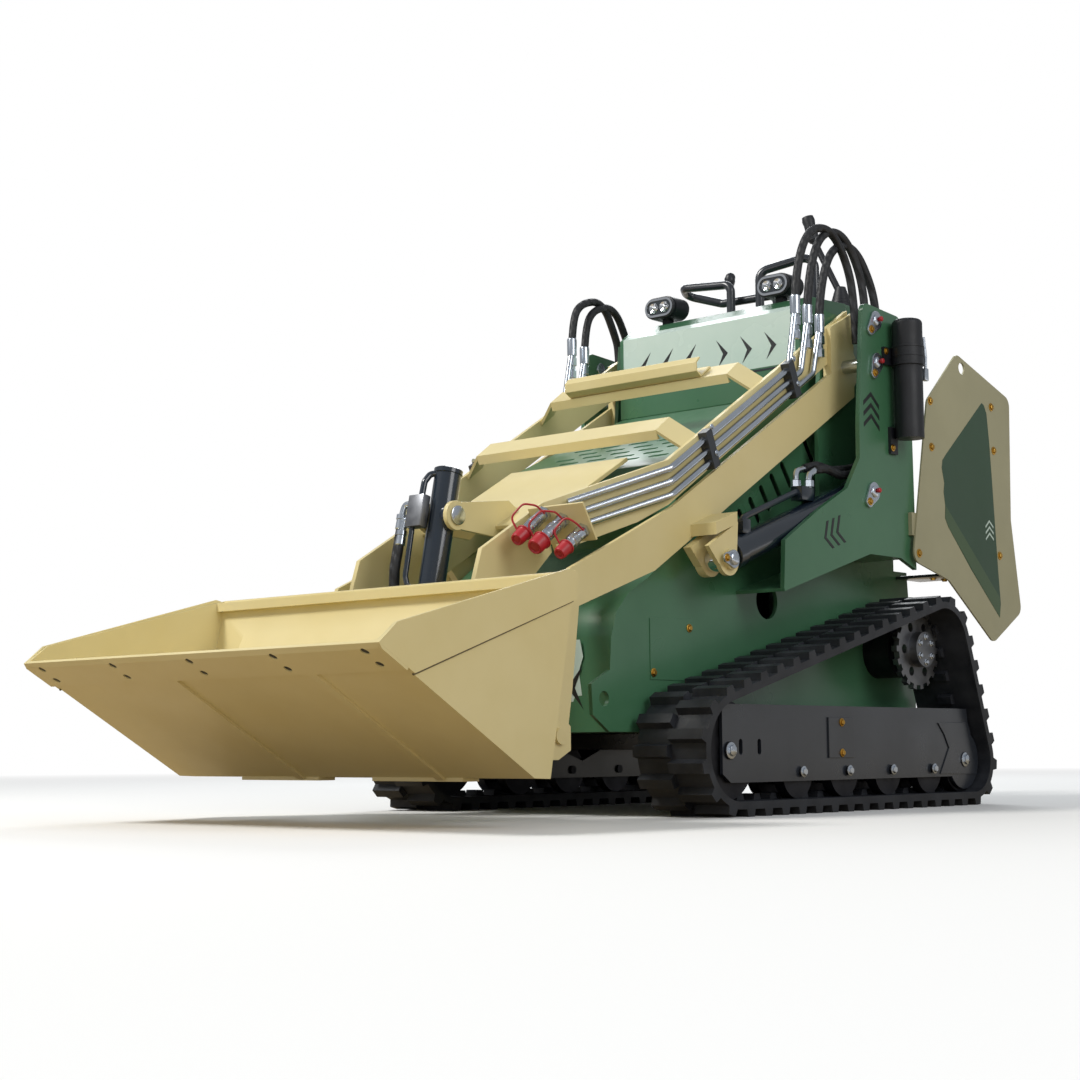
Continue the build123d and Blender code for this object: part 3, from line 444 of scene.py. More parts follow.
def make_world():
    """A white surround for the camera and for gloss, and a plain even light for everything else."""
    world = bpy.data.worlds.new("studio")
    bpy.context.scene.world = world
    world.use_nodes = True
    tree = world.node_tree
    back = tree.nodes["Background"]
    back.inputs["Color"].default_value = (0.93, 0.96, 1.0, 1.0)
    back.inputs["Strength"].default_value = 0.38
    white = add(tree, "Background", {"Color": (1, 1, 1, 1), "Strength": 1.0})
    path = add(tree, "LightPath")
    seen = add(tree, "Math", links={0: path.outputs["Is Camera Ray"], 1: path.outputs["Is Transmission Ray"]},
               operation="MAXIMUM")
    mix = add(tree, "MixShader", links={0: seen.outputs[0], 1: back.outputs[0], 2: white.outputs[0]})
    tree.links.new(mix.outputs[0], tree.nodes["World Output"].inputs["Surface"])


def lamp(name, place, aim, size, energy, colour=(1, 1, 1)):
    """A square area light in metres and watts, turned towards its aim."""
    light = bpy.data.lights.new(name, "AREA")
    light.shape = "SQUARE"
    light.size = size
    light.energy = energy
    light.color = colour
    thing = new_object(name, light)
    thing.location = place
    thing.rotation_euler = (Vector(aim) - Vector(place)).to_track_quat("-Z", "Y").to_euler()


def make_lights():
    """A hard key from the upper left, and soft light from the side, from low down and from behind."""
    lamp("key", (-2.6, -4.2, 5.6), (0, -0.2, 0.6), 1.6, 360.0, (1.0, 0.98, 0.94))
    lamp("side", (5.5, -0.6, 3.4), (0, 0, 0.6), 3.0, 105.0)
    lamp("low_fill", (3.2, -4.4, 0.7), (0, -0.4, 0.4), 2.2, 18.0)
    lamp("rim", (-3.0, 4.6, 4.2), (0, 0, 0.8), 3.0, 150.0, (0.95, 0.98, 1.0))


def make_camera():
    """The camera where the photographer stood."""
    data = bpy.data.cameras.new("photo_view")
    data.lens = CAMERA_LENS
    data.sensor_width = 36.0
    camera = new_object("photo_view", data)
    turn = Matrix.Rotation(math.radians(CAMERA_AZIMUTH), 4, "Z")
    rise = Matrix.Rotation(math.radians(90.0 + CAMERA_RISE), 4, "X")
    roll = Matrix.Rotation(math.radians(CAMERA_ROLL), 4, "Z")
    camera.matrix_world = Matrix.Translation(CAMERA_PLACE) @ turn @ rise @ roll
    bpy.context.scene.camera = camera


# How wide each steel or moulded edge is eased, in millimetres
PAIRED_EDGES = {"tower": 1.6, "loader_arm": 1.6, "track_frame": 1.6, "track": 2.5}
SINGLE_EDGES = {"main_frame": 1.8, "cross_members": 1.6, "lower_cross_plate": 1.6, "bucket_shell": 1.6,
                "cutting_edge": 1.2, "hitch_plate": 1.6, "hood_front": 3.0, "engine_cover": 2.0,
                "rear_body": 3.0, "console": 6.0, "undercarriage": 1.8, "step_platform": 2.0,
                "coupler_bracket": 1.2, "tube_clamps": 1.2, "rear_guards": 1.2, "safety_strut": 1.5}
SPROCKET_EDGE = 1.5

# Pieces whose flat faces stay in the CAD's own facets, because merged they would fold over holes and corners
KEEP_FACETS = ("tower", "bucket_shell", "hitch_plate", "step_platform", "rear_guards")

# The cross members' front lips: where their lower edges lie, and how far these move up and forward
LIP_HEIGHTS = (868.0, 1044.0)
LIP_DEPTH = 20.0
LIP_HALF_WIDTH = 293.0
LIP_MOVE = Vector((0.0, -9.5, 24.0))


def shorten_lips(piece):
    """The cross members' front lips, turned down only a little way."""
    for top in LIP_HEIGHTS:
        for vertex in piece.data.vertices:
            across, _, up = vertex.co / MM
            if abs(across) < LIP_HALF_WIDTH and top - LIP_DEPTH < up < top:
                vertex.co += LIP_MOVE * MM
    piece.data.update()


def dress_nodes():
    """Every CAD node gets its finish; plates, castings and panels also get eased edges."""
    for node, thing in NODES.items():
        paint(thing, NODE_MATERIAL[SLOT_OF[node]])
        smooth(thing, PLAIN_SHADE_ANGLE)
    for name, width in PAIRED_EDGES.items():
        for side in SIDES:
            eased(f"{name}_{side}", width, name not in KEEP_FACETS)
    for node, width in SINGLE_EDGES.items():
        piece = eased(node, width, node not in KEEP_FACETS)
        if node == "cross_members":
            shorten_lips(piece)
    for side in SIDES:
        eased(f"drive_sprocket_{side}", SPROCKET_EDGE, False, WORN_STEEL)


# Finished pieces by name, body and slot, each with its material
KIT = {}


def keep(piece, name, body, material, slot=None):
    """Sets a finished piece aside with its like, to be settled as one object."""
    slot = slot or SLOT_OF_FINISH[material.name]
    KIT.setdefault((name, body, slot), (material, []))[1].append(piece)


def mirrored(piece):
    """The same piece on the machine's other side."""
    twin = new_object("twin", piece.data.copy())
    twin.data.transform(Matrix.Scale(-1.0, 4, OUTWARD))
    twin.data.flip_normals()
    return twin


def keep_both(piece, name, body, material):
    """Sets a piece of the left side aside with its twin on the right."""
    twin = mirrored(piece)
    keep(piece, name, body, material)
    keep(twin, name, body, material)


def settle_kit():
    """Joins the pieces of each kind and settles them."""
    for (name, body, slot), (material, pieces) in KIT.items():
        settle(joined(pieces, name) if len(pieces) > 1 else pieces[0], name, body, material)


def on_side(x):
    """The place of a drawing on the side face at x: its ways are y and z."""
    return Matrix.Translation((x, 0, 0)) @ SIDE_VIEW


def on_front(y):
    """The place of a drawing on the front face at y: its ways are x and z."""
    return Matrix.Translation((0, y, 0)) @ FRONT_VIEW


def rounded(points, bend, steps=6):
    """A path whose corners are turned on an arc, as a bent pipe's are."""
    path = [Vector(points[0])]
    for before, corner, after in zip(points, points[1:], points[2:]):
        before, corner, after = Vector(before), Vector(corner), Vector(after)
        back, on = (before - corner).normalized(), (after - corner).normalized()
        half = back.angle(on) / 2
        reach = min(bend / math.tan(half), 0.48 * (before - corner).length, 0.48 * (after - corner).length)
        start, end = corner + back * reach, corner + on * reach
        for step in range(steps + 1):
            share = step / steps
            path.append(start.lerp(corner, share).lerp(corner.lerp(end, share), share))
    path.append(Vector(points[-1]))
    return path


def pipe(points, radius, bend=20.0, resolution=3):
    """A bent tube along a path in millimetres."""
    drawing = bpy.data.curves.new("pipe", "CURVE")
    drawing.dimensions = "3D"
    drawing.bevel_depth = radius
    drawing.bevel_resolution = resolution
    drawing.use_fill_caps = True
    add_line(drawing, "POLY", rounded(points, bend))
    return as_mesh(new_object("pipe", drawing))


def ring_points(radius, sides=28, start=0.0, turn=360.0):
    """Points around a circle, or along an arc with both its ends."""
    angles = [math.radians(start + i * turn / sides) for i in range(sides + (turn < 360.0))]
    return [(radius * math.cos(angle), radius * math.sin(angle)) for angle in angles]


def hull_plate(first, first_radius, second, second_radius, thickness, place, bevel=0.8):
    """A lozenge: two round ends joined by straight sides."""
    way = math.degrees(math.atan2(second[1] - first[1], second[0] - first[0]))
    near = [(first[0] + a, first[1] + b) for a, b in ring_points(first_radius, 14, way + 90.0, 180.0)]
    far = [(second[0] + a, second[1] + b) for a, b in ring_points(second_radius, 14, way - 90.0, 180.0)]
    return plate(near + far, thickness, place, bevel)


def stadium(width, height, sides=12):
    """The outline of a slot with round ends."""
    radius, reach = height / 2, (width - height) / 2
    right = [(reach + a, b) for a, b in ring_points(radius, sides, -90.0, 180.0)]
    left = [(-reach + a, b) for a, b in ring_points(radius, sides, 90.0, 180.0)]
    return right + left


def rod(start, end, radius, sides=20):
    """A round bar between two places, with eased ends."""
    way = Vector(end) - Vector(start)
    ease = min(1.0, radius * 0.15)
    rings = [(0.0, radius - ease), (ease, radius), (way.length - ease, radius), (way.length, radius - ease)]
    return turned(rings, aimed(start, way), sides)


def brick(low, high, bevel=1.5):
    """A solid block with eased edges between two corners."""
    clear_selection()
    middle = [(a + b) / 2 for a, b in zip(low, high)]
    bpy.ops.mesh.primitive_cube_add(size=1.0, location=middle)
    piece = bpy.context.object
    piece.scale = [b - a for a, b in zip(low, high)]
    bpy.ops.object.transform_apply()
    if bevel:
        modifier = piece.modifiers.new("eased edges", "BEVEL")
        modifier.width = bevel
        modifier.segments = 2
        apply_modifiers(piece)
    return piece


def side_bolts(name, x, spots, head, height, material, body="machine"):
    """Bolts in a side face at x and in its twin, at places (y, z)."""
    for y, z in spots:
        keep_both(bolt((x, y, z), OUTWARD, head, height), name, body, material)


def pin_head(place):
    """The stepped round end of a pin."""
    return turned([(0.0, 15.0), (3.0, 15.0), (5.0, 12.0), (6.0, 6.0)], aimed(place, OUTWARD), 28)


# Tower pins: place, where the bolt of its retainer lies from it, and how far in the pin reaches
PINS = (((564.0, 1247.0), (-26.0, -27.0), 451.0), ((565.0, 1137.0), (-15.0, -29.0), 327.0),
        ((534.0, 798.0), (-23.0, -27.0), 327.0))


def dress_pins():
    """Tower pins, each held by a lozenge plate with one bolt and a capped grease nipple."""
    for (y, z), (bolt_y, bolt_z), deep in PINS:
        spot = (y + bolt_y, z + bolt_z)
        keep_both(rod((deep, y, z), (TOWER_FACE_X + 6.0, y, z), 17.4, 32), "tower_pin_shafts", "machine",
                  ZINC)
        lozenge = hull_plate((y, z), 25.0, spot, 15.0, 7.0, on_side(TOWER_FACE_X + 0.3), 1.0)
        keep_both(lozenge, "pin_retainer_plates", "machine", ZINC)
        keep_both(pin_head((TOWER_FACE_X + 7.0, y, z)), "pin_retainer_plates", "machine", ZINC)
        cap = turned([(0.0, 4.5), (2.0, 4.5), (2.5, 6.5), (8.0, 6.5), (9.5, 4.5)],
                     aimed((TOWER_FACE_X + 12.5, y + 4.0, z + 3.0), OUTWARD), 18)
        keep_both(cap, "grease_nipple_caps", "machine", RED)
        side_bolts("retainer_bolts", TOWER_FACE_X + 7.0, [spot], 7.0, 5.0, BRASS)
    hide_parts("tower_pins")


def stroke(points, width_y, width_z, x, thickness=MARK_THICKNESS):
    """A flat mark: a bent line given a width, on a side face."""
    back = [(y + width_y, z + width_z) for y, z in reversed(points)]
    return plate(points + back, thickness, on_side(x))


def chevron(left, tip, right, width, x, thickness=MARK_THICKNESS):
    """An arrow head that points up, on a side face."""
    return stroke([left, tip, right], 0.0, -width, x, thickness)


def dress_marks():
    """The plain chevrons, arrows and dark fields, cut from thin vinyl."""
    for drop in (0.0, 28.0, 56.0):
        mark = chevron((501.0, 1030.0 - drop), (537.0, 1057.0 - drop), (575.0, 1027.0 - drop), 12.0,
                       TOWER_FACE_X)
        keep_both(mark, "tower_chevrons", "machine", MARK_BLACK_AND_PAINTED_SHADE)
    for y, z in ((307.0, 662.0), (334.0, 671.0), (361.0, 680.0)):
        mark = stroke([(y + 11.0, z + 43.0), (y, z), (y + 35.0, z - 23.0)], 10.0, 3.0, TOWER_FACE_X)
        keep_both(mark, "tower_chevrons", "machine", MARK_BLACK_AND_PAINTED_SHADE)
    for x in (34.0, 113.0, 191.0):
        points = [(x, 1244.0), (x + 38.0, 1205.0), (x + 6.0, 1170.0), (x + 22.0, 1204.0)]
        mark = plate(points, MARK_THICKNESS, on_front(HOOD_FACE_Y))
        keep_both(mark, "hood_chevrons", "machine", MARK_BLACK_AND_PAINTED_SHADE)
    # The chassis front's pale field and the dark arrow on it
    pale = [(210.0, 399.0), (191.0, 273.0), (206.0, 228.0), (223.0, 271.0), (244.0, 272.0), (235.0, 326.0),
            (248.0, 360.0), (239.0, 398.0)]
    keep(plate(pale, MARK_THICKNESS, on_front(CHASSIS_FRONT_Y)), "chassis_front_mark", "machine", MINT)
    arrow = [(247.0, 340.0), (202.0, 291.0), (249.0, 240.0), (223.0, 290.0)]
    keep(plate(arrow, MARK_THICKNESS, on_front(CHASSIS_FRONT_Y - 0.8)), "chassis_front_arrow", "machine",
         MARK_BLACK_AND_PAINTED_SHADE)
    # The guards' dark field, the leaf band along its front edge and the pale chevrons on it
    dark = [(1085.0, 1098.0), (1097.0, 1094.0), (1111.0, 1072.0), (1121.0, 998.0), (1131.0, 879.0),
            (1149.0, 638.0),
            (1158.0, 545.0), (1150.0, 505.0), (1000.0, 628.0), (883.0, 735.0), (867.0, 758.0), (870.0, 791.0),
            (863.0, 828.0), (868.0, 853.0), (857.0, 893.0), (862.0, 914.0), (883.0, 933.0)]
    keep_both(plate(dark, 0.4, on_side(GUARD_FACE_X)), "guard_diamonds", "machine", DARK_GREEN)
    leaf = [(873.0, 791.0), (867.0, 758.0), (883.0, 735.0), (1004.0, 628.0), (1150.0, 505.0), (1154.0, 560.0)]
    keep_both(plate(leaf, 0.3, on_side(GUARD_FACE_X + 0.5)), "guard_leaf_bands", "machine", LEAF_GREEN)
    for drop in (0.0, 17.0, 34.0):
        mark = chevron((1085.0, 755.0 - drop), (1107.0, 773.0 - drop), (1129.0, 757.0 - drop), 6.0,
                       GUARD_FACE_X + 0.5, 0.3)
        keep_both(mark, "guard_chevrons", "machine", MINT)
    cover = [(760.0, 213.0), (901.0, 216.0), (952.0, 79.0), (765.0, 82.0), (813.0, 149.0), (790.0, 184.0)]
    keep_both(plate(cover, 3.0, on_side(TRACK_FRAME_FACE_X), 0.8), "track_frame_arrow_covers", "machine",
              BLACK)


def dress_hood():
    """The hood's pale panel, bent over its top edge, and the seam below it."""
    profile = [(466.0, 1150.0), (466.0, 1290.3), (488.0, 1306.0), (487.5, 1306.9), (HOOD_FACE_Y, 1290.9),
               (HOOD_FACE_Y, 1150.0)]
    panel = plate(profile, 576.0, on_side(-288.0))
    keep(panel, "hood_pale_panel", "machine", MINT)
    seam = [(466.0, 1141.0), (466.0, 1146.0), (464.8, 1146.0), (464.8, 1141.0)]
    keep(plate(seam, 590.0, on_side(-295.0)), "hood_lower_seam", "machine", BLACK)


LAMP_HEIGHT = 1378.0
LAMP_SPOTS = (-192.0, 192.0)


def dress_lamps():
    """Each work lamp's bezel, bright ring, glass and two reflectors."""
    outer, inner = stadium(96.0, 52.0), stadium(84.0, 40.0)
    ring_outline = outer + outer[:1] + inner[:1] + list(reversed(inner))
    for x in LAMP_SPOTS:
        front = Matrix.Translation((x, 0, LAMP_HEIGHT)) @ on_front(517.0)
        keep(plate(stadium(104.0, 60.0), 10.0, front, 3.0), "lamp_bezels", "machine", PLASTIC)
        ring = plate(ring_outline, 4.0, Matrix.Translation((0, -9.5, 0)) @ front)
        keep(ring, "lamp_chrome_rings", "machine", CHROME)
        glass = plate(stadium(85.0, 41.0), 1.5, Matrix.Translation((0, -9.6, 0)) @ front, 0.5)
        keep(glass, "lamp_glasses", "machine", LENS)
        for shift in (-18.0, 18.0):
            cup = turned([(0.0, 14.0), (3.0, 15.0), (5.0, 13.0), (3.5, 9.0), (2.5, 5.0),
                          (5.5, 4.0), (7.0, 2.0)],
                         aimed((x + shift, 506.6, LAMP_HEIGHT), (0, -1, 0)), 24)
            keep(cup, "lamp_reflectors", "machine", CHROME)


# Hoses from the arm pipes over to the chassis: the height of each one's bow, on the left and on the right
HOSE_CROWNS = {1: (1474.0, 1474.0, 1448.0), -1: (1404.0, 1396.0)}
HOSE_PITCH = 54.0
TUBE_X = 373.0
HOSE_RADIUS = 11.0
FERRULE_DROP = 52.0


def hose_routes():
    """Each hose's side, number and way, from its ferrule on the arm over its bow and down behind the hood."""
    for side, crowns in HOSE_CROWNS.items():
        for number, crown in enumerate(crowns):
            x, start, foot = side * TUBE_X, 342.0 + number * HOSE_PITCH, 1264.0 - 16.0 * number
            yield side, number, [
                (x, start, foot), (x, start + 4.0, foot + 88.0), (x + side * 6.0, start + 54.0, crown),
                (x + side * 14.0, start + 152.0, crown + 20.0),
                (x + side * 22.0, start + 220.0, crown - 74.0),
                (x + side * 26.0, start + 237.0, 1290.0), (x + side * 26.0, start + 240.0, 1200.0)]


def make_hoses():
    """The arm hoses as tubes along curves, from the arm over to the chassis."""
    for side, number, route_mm in hose_routes():
        route = [tuple(value * MM for value in place) for place in route_mm]
        drawing = bpy.data.curves.new("lift_hose", "CURVE")
        drawing.dimensions = "3D"
        drawing.resolution_u = 10
        spline = add_line(drawing, "NURBS", route)
        spline.order_u = 3
        spline.use_endpoint_u = True
        hose = new_object(f"lift_hose_{'left' if side > 0 else 'right'}_{number + 1}", drawing)
        line = bpy.data.meshes.new_from_object(hose)
        drawing.bevel_depth = HOSE_RADIUS * MM
        drawing.bevel_resolution = 4
        drawing.use_fill_caps = True
        hose = as_mesh(hose)
        hose.data.materials.append(HOSE)
        smooth(hose, 40.0)
        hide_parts("lift_hoses")
        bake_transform(hose)


def dress_ferrules():
    """The crimped sleeve and the two nuts at each hose's foot."""
    for _, _, route in hose_routes():
        place = Matrix.Translation(route[0]) @ Matrix.Translation((0, 0, -FERRULE_DROP))
        sleeve = turned([(30.0, 12.0), (31.0, 13.2), (74.0, 13.6), (78.0, 12.6), (79.0, 11.4)], place, 24)
        nut = turned([(0.0, 11.0), (1.5, 13.0), (23.0, 13.0), (24.5, 11.0), (30.0, 10.5)], place, 6)
        low = turned([(-34.0, 9.5), (-33.0, 12.0), (-12.0, 12.0), (-10.0, 9.5), (0.0, 9.0)], place, 6)
        for piece in (sleeve, nut, low):
            keep(piece, "hose_ferrules", "loader_arms", ZINC)


def dress_clamps():
    """Two bolts on each pipe clamp's cover."""
    spots = ((-40.0, 905.0), (-22.0, 845.0), (308.0, 1120.0), (326.0, 1060.0))
    side_bolts("clamp_bolts", 387.3, spots, 5.0, 3.5, ZINC, "loader_arms")


def dress_lift_cylinders():
    """Each lift cylinder's pipe, port blocks, elbows and hoses, and the retainer of its rod pin."""
    x = 415.0
    made = [("lift_port_blocks", NAVY, brick((398, 268, 757), (432, 322, 792))),
            ("lift_port_blocks", NAVY, brick((400, 20, 655), (430, 52, 690))),
            ("lift_transfer_pipes", NAVY,
             pipe([(x, 32, 662), (x, 38, 692), (x, 60, 702), (x, 262, 776), (x, 276, 780)], 8.0, 16.0)),
            ("lift_port_elbows", ZINC,
             pipe([(404, 282, 790), (404, 282, 832), (404, 322, 842)], 8.0, 18.0)),
            ("lift_port_elbows", ZINC,
             pipe([(426, 306, 790), (426, 306, 822), (426, 336, 838)], 8.0, 18.0)),
            ("lift_cylinder_hoses", HOSE,
             pipe([(404, 320, 842), (404, 372, 856), (404, 440, 850),
                   (400, 520, 862), (398, 600, 880)], 11.0, 60.0)),
            ("lift_cylinder_hoses", HOSE,
             pipe([(426, 334, 838), (426, 386, 846), (426, 450, 836),
                   (424, 520, 848), (420, 600, 860)], 11.0, 60.0)),
            ("lift_cylinder_glands", NAVY,
             rod((x, -20.0, 601.0), (x, 10.0, 611.6), 40.0, 40))]
    for y, z, px in ((282.0, 792.0, 404.0), (306.0, 792.0, 426.0)):
        made.append(("lift_port_elbows", ZINC,
                     turned([(0.0, 11.0), (1.0, 12.5), (16.0, 12.5), (18.0, 10.5)],
                            Matrix.Translation((px, y, z)), 6)))
    for name, material, piece in made:
        twin = mirrored(piece)
        for side, half in zip(SIDES, (piece, twin)):
            keep(half, f"{name}_{side}", f"lift_cylinder_barrel_{side}", material)
    lozenge = hull_plate((-61.0, 586.0), 22.0, (-86.0, 587.0), 13.0, 5.0, on_side(456.2), 1.0)
    head = turned([(0.0, 15.0), (4.0, 15.0), (6.0, 12.0), (7.0, 5.0)],
                  aimed((461.0, -61.0, 586.0), OUTWARD), 28)
    for piece in (lozenge, head):
        keep_both(piece, "rod_pin_retainers", "loader_arms", ZINC)
    side_bolts("rod_pin_bolts", 461.0, [(-88.0, 587.0)], 6.5, 4.5, BRASS, "loader_arms")


def dress_canister():
    """The document canister's ribs, latch and bolts, on the left tower."""
    x, y = 508.3, 656.0
    for z in (1138.0, 1160.0, 1184.0):
        band = turned([(-2.5, 41.4), (-2.0, 42.4), (2.0, 42.4), (2.5, 41.4)],
                      Matrix.Translation((x, y, z)), 40)
        keep(band, "canister_ribs", "machine", PLASTIC)
    latch = pipe([(x + 30, y + 30, 1212), (x + 33, y + 33, 1160), (x + 32, y + 31, 1100)], 4.0, 30.0)
    keep(latch, "canister_latch", "machine", ZINC)
    handle = brick((x + 24, y + 22, 1096), (x + 38, y + 40, 1130), 3.0)
    keep(handle, "canister_latch", "machine", ZINC)
    for spot in ((475.5, 624.0, 921.0), (475.5, 603.0, 1172.0)):
        keep(bolt(spot, OUTWARD, 6.5, 4.5), "canister_bolts", "machine", BRASS)


def dress_guards():
    """The bolts around each side guard."""
    spots = ((1138.0, 1093.0), (1145.0, 971.0), (1161.0, 678.0), (807.0, 943.0),
             (806.0, 1067.0), (728.0, 654.0))
    side_bolts("guard_bolts", GUARD_FACE_X, spots, 8.0, 5.0, BRASS)


# The rollers' axles along the track frame, and the sprocket's middle with the circle of its bolts
ROLLER_START, ROLLER_PITCH, ROLLER_HEIGHT = 133.0, 199.0, 96.3
SPROCKET_BOLT_X, SPROCKET_Y, SPROCKET_Z, SPROCKET_BOLT_CIRCLE = 472.2, 766.0, 405.0, 33.0


def dress_track_frames():
    """Axle bolts, the track tensioner's cover and the sprocket's bolts."""
    rollers = [(ROLLER_START + ROLLER_PITCH * number, ROLLER_HEIGHT) for number in range(4)]
    side_bolts("roller_bolts", 509.2, rollers, 9.0, 6.0, ZINC)
    side_bolts("roller_bolts", 507.2, ((-150.0, 147.0), (891.0, 118.0)), 13.0, 8.0, ZINC)
    cover = [(247.0, 127.0), (247.0, 224.0), (358.0, 224.0), (358.0, 127.0)]
    keep_both(plate(cover, 4.0, on_side(TRACK_FRAME_FACE_X), 1.0), "tensioner_covers", "machine", BLACK)
    side_bolts("cover_bolts", TRACK_FRAME_FACE_X + 4.0, ((303.0, 212.0), (303.0, 139.0)), 7.0, 5.0, BRASS)
    circle = [(SPROCKET_Y + a, SPROCKET_Z + b) for a, b in ring_points(SPROCKET_BOLT_CIRCLE, 6, 30.0)]
    side_bolts("sprocket_bolts", SPROCKET_BOLT_X, circle, 6.0, 5.0, ZINC)


def dress_chassis():
    """The access panel low on each side of the chassis."""
    panel = [(-207.0, 309.0), (-207.0, 450.0), (-50.0, 455.0), (-50.0, 309.0)]
    keep_both(plate(panel, 2.0, on_side(SIDE_FACE_X), 0.6), "access_panels", "machine", GREEN)
    side_bolts("panel_bolts", SIDE_FACE_X + 2.0, ((-60.0, 432.0), (-196.0, 325.0)), 7.0, 5.0, BRASS)


# Couplers: place across, distance down the bracket, length and the cap's radius
COUPLERS = ((246.0, 14.0, 80.0, 16.0), (292.0, 34.0, 84.0, 19.0), (337.0, 64.0, 66.0, 15.0))


def dress_couplers():
    """Quick couplers: plated bodies with a knurled sleeve, under red caps held by a loop."""
    slope, droop = math.radians(31.0), math.radians(36.0)
    off = Vector((0, -math.cos(slope), -math.sin(slope)))
    down = Vector((0, math.sin(slope), -math.cos(slope)))
    out = Vector((0, -math.cos(droop), -math.sin(droop)))
    across = Vector(OUTWARD)
    for x, drop, reach, size in COUPLERS:
        start = Vector((x, -478.0, 690.0)) + down * drop + off * 5.5
        place = aimed(start, out)
        nut = turned([(0.0, 16.0), (1.0, 18.0), (10.0, 18.0), (11.0, 14.0), (22.0, 13.0)], place, 6)
        rings = [(18.0, 12.0), (19.0, 14.0), (30.0, 14.0), (31.0, 12.0), (35.0, 12.0), (36.0, 14.5)]
        for row in range(4):
            mark = 38.0 + row * 4.0
            rings += [(mark, 15.5), (mark + 1.5, 15.5), (mark + 2.0, 14.5)]
        rings += [(reach - 14.0, 14.5), (reach - 12.0, 12.5), (reach + 2.0, 12.5)]
        body = turned(rings, place, 28)
        keep(nut, "coupler_bodies", "loader_arms", ZINC)
        keep(body, "coupler_bodies", "loader_arms", ZINC)
        cap = turned([(reach, size - 3.0), (reach + 1.0, size), (reach + 9.0, size + 0.6),
                      (reach + 10.0, size),
                      (reach + 30.0, size), (reach + 36.0, size - 2.0), (reach + 37.0, size - 5.0),
                      (reach + 34.0, size - 8.0), (reach + 34.5, size - 11.0)], place, 28)
        keep(cap, "coupler_caps", "loader_arms", RED)
        ring = pipe([start + out * (reach + 5) + place.to_3x3() @ Vector((a, b, 0.0))
                     for a, b in ring_points(size + 1.0, 16, 0.0, 350.0)], 2.4, 2.0, 2)
        steps = ((reach + 5, -size, 0), (reach - 6, -size - 16, 34), (reach - 34, -8, 50), (30, 12, 34),
                 (15, 12, 6))
        loop = [start + out * ahead + across * aside - down * rise for ahead, aside, rise in steps]
        for piece in (ring, pipe(loop, 2.4, 18.0, 2)):
            keep(piece, "coupler_cap_loops", "loader_arms", RED)
    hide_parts("quick_couplers")


def dress_controls():
    """The joystick's bellows, its grip, and the rubber sleeves on the lever."""
    foot = aimed((258.0, 735.0, 1340.3), (0, 0, 1))
    rings = [(0.0, 32.0)]
    for step in range(6):
        height, radius = 6.0 + step * 9.0, 31.0 - step * 2.9
        rings += [(height, radius), (height + 4.0, radius - 4.5)]
    rings.append((61.0, 11.0))
    keep(turned(rings, foot, 28), "joystick_bellows", "machine", PLASTIC)
    low, high = Vector((180.0, 727.0, 1545.0)), Vector((165.0, 722.0, 1612.0))
    grip = turned([(-6.0, 12.0), (0.0, 15.0), (18.0, 17.0), (40.0, 15.5), (58.0, 18.0),
                   (68.0, 16.0), (71.0, 9.0)],
                  aimed(low, high - low), 24)
    keep(grip, "joystick_grip", "machine", PLASTIC)
    sleeve = turned([(0.0, 7.5), (1.0, 9.0), (55.0, 10.5), (66.0, 14.6), (78.0, 15.2), (90.0, 8.0)],
                    aimed((-84.0, 703.0, 1400.0), (0, -0.1, 1)), 20)
    keep(sleeve, "lever_sleeve", "machine", PLASTIC)


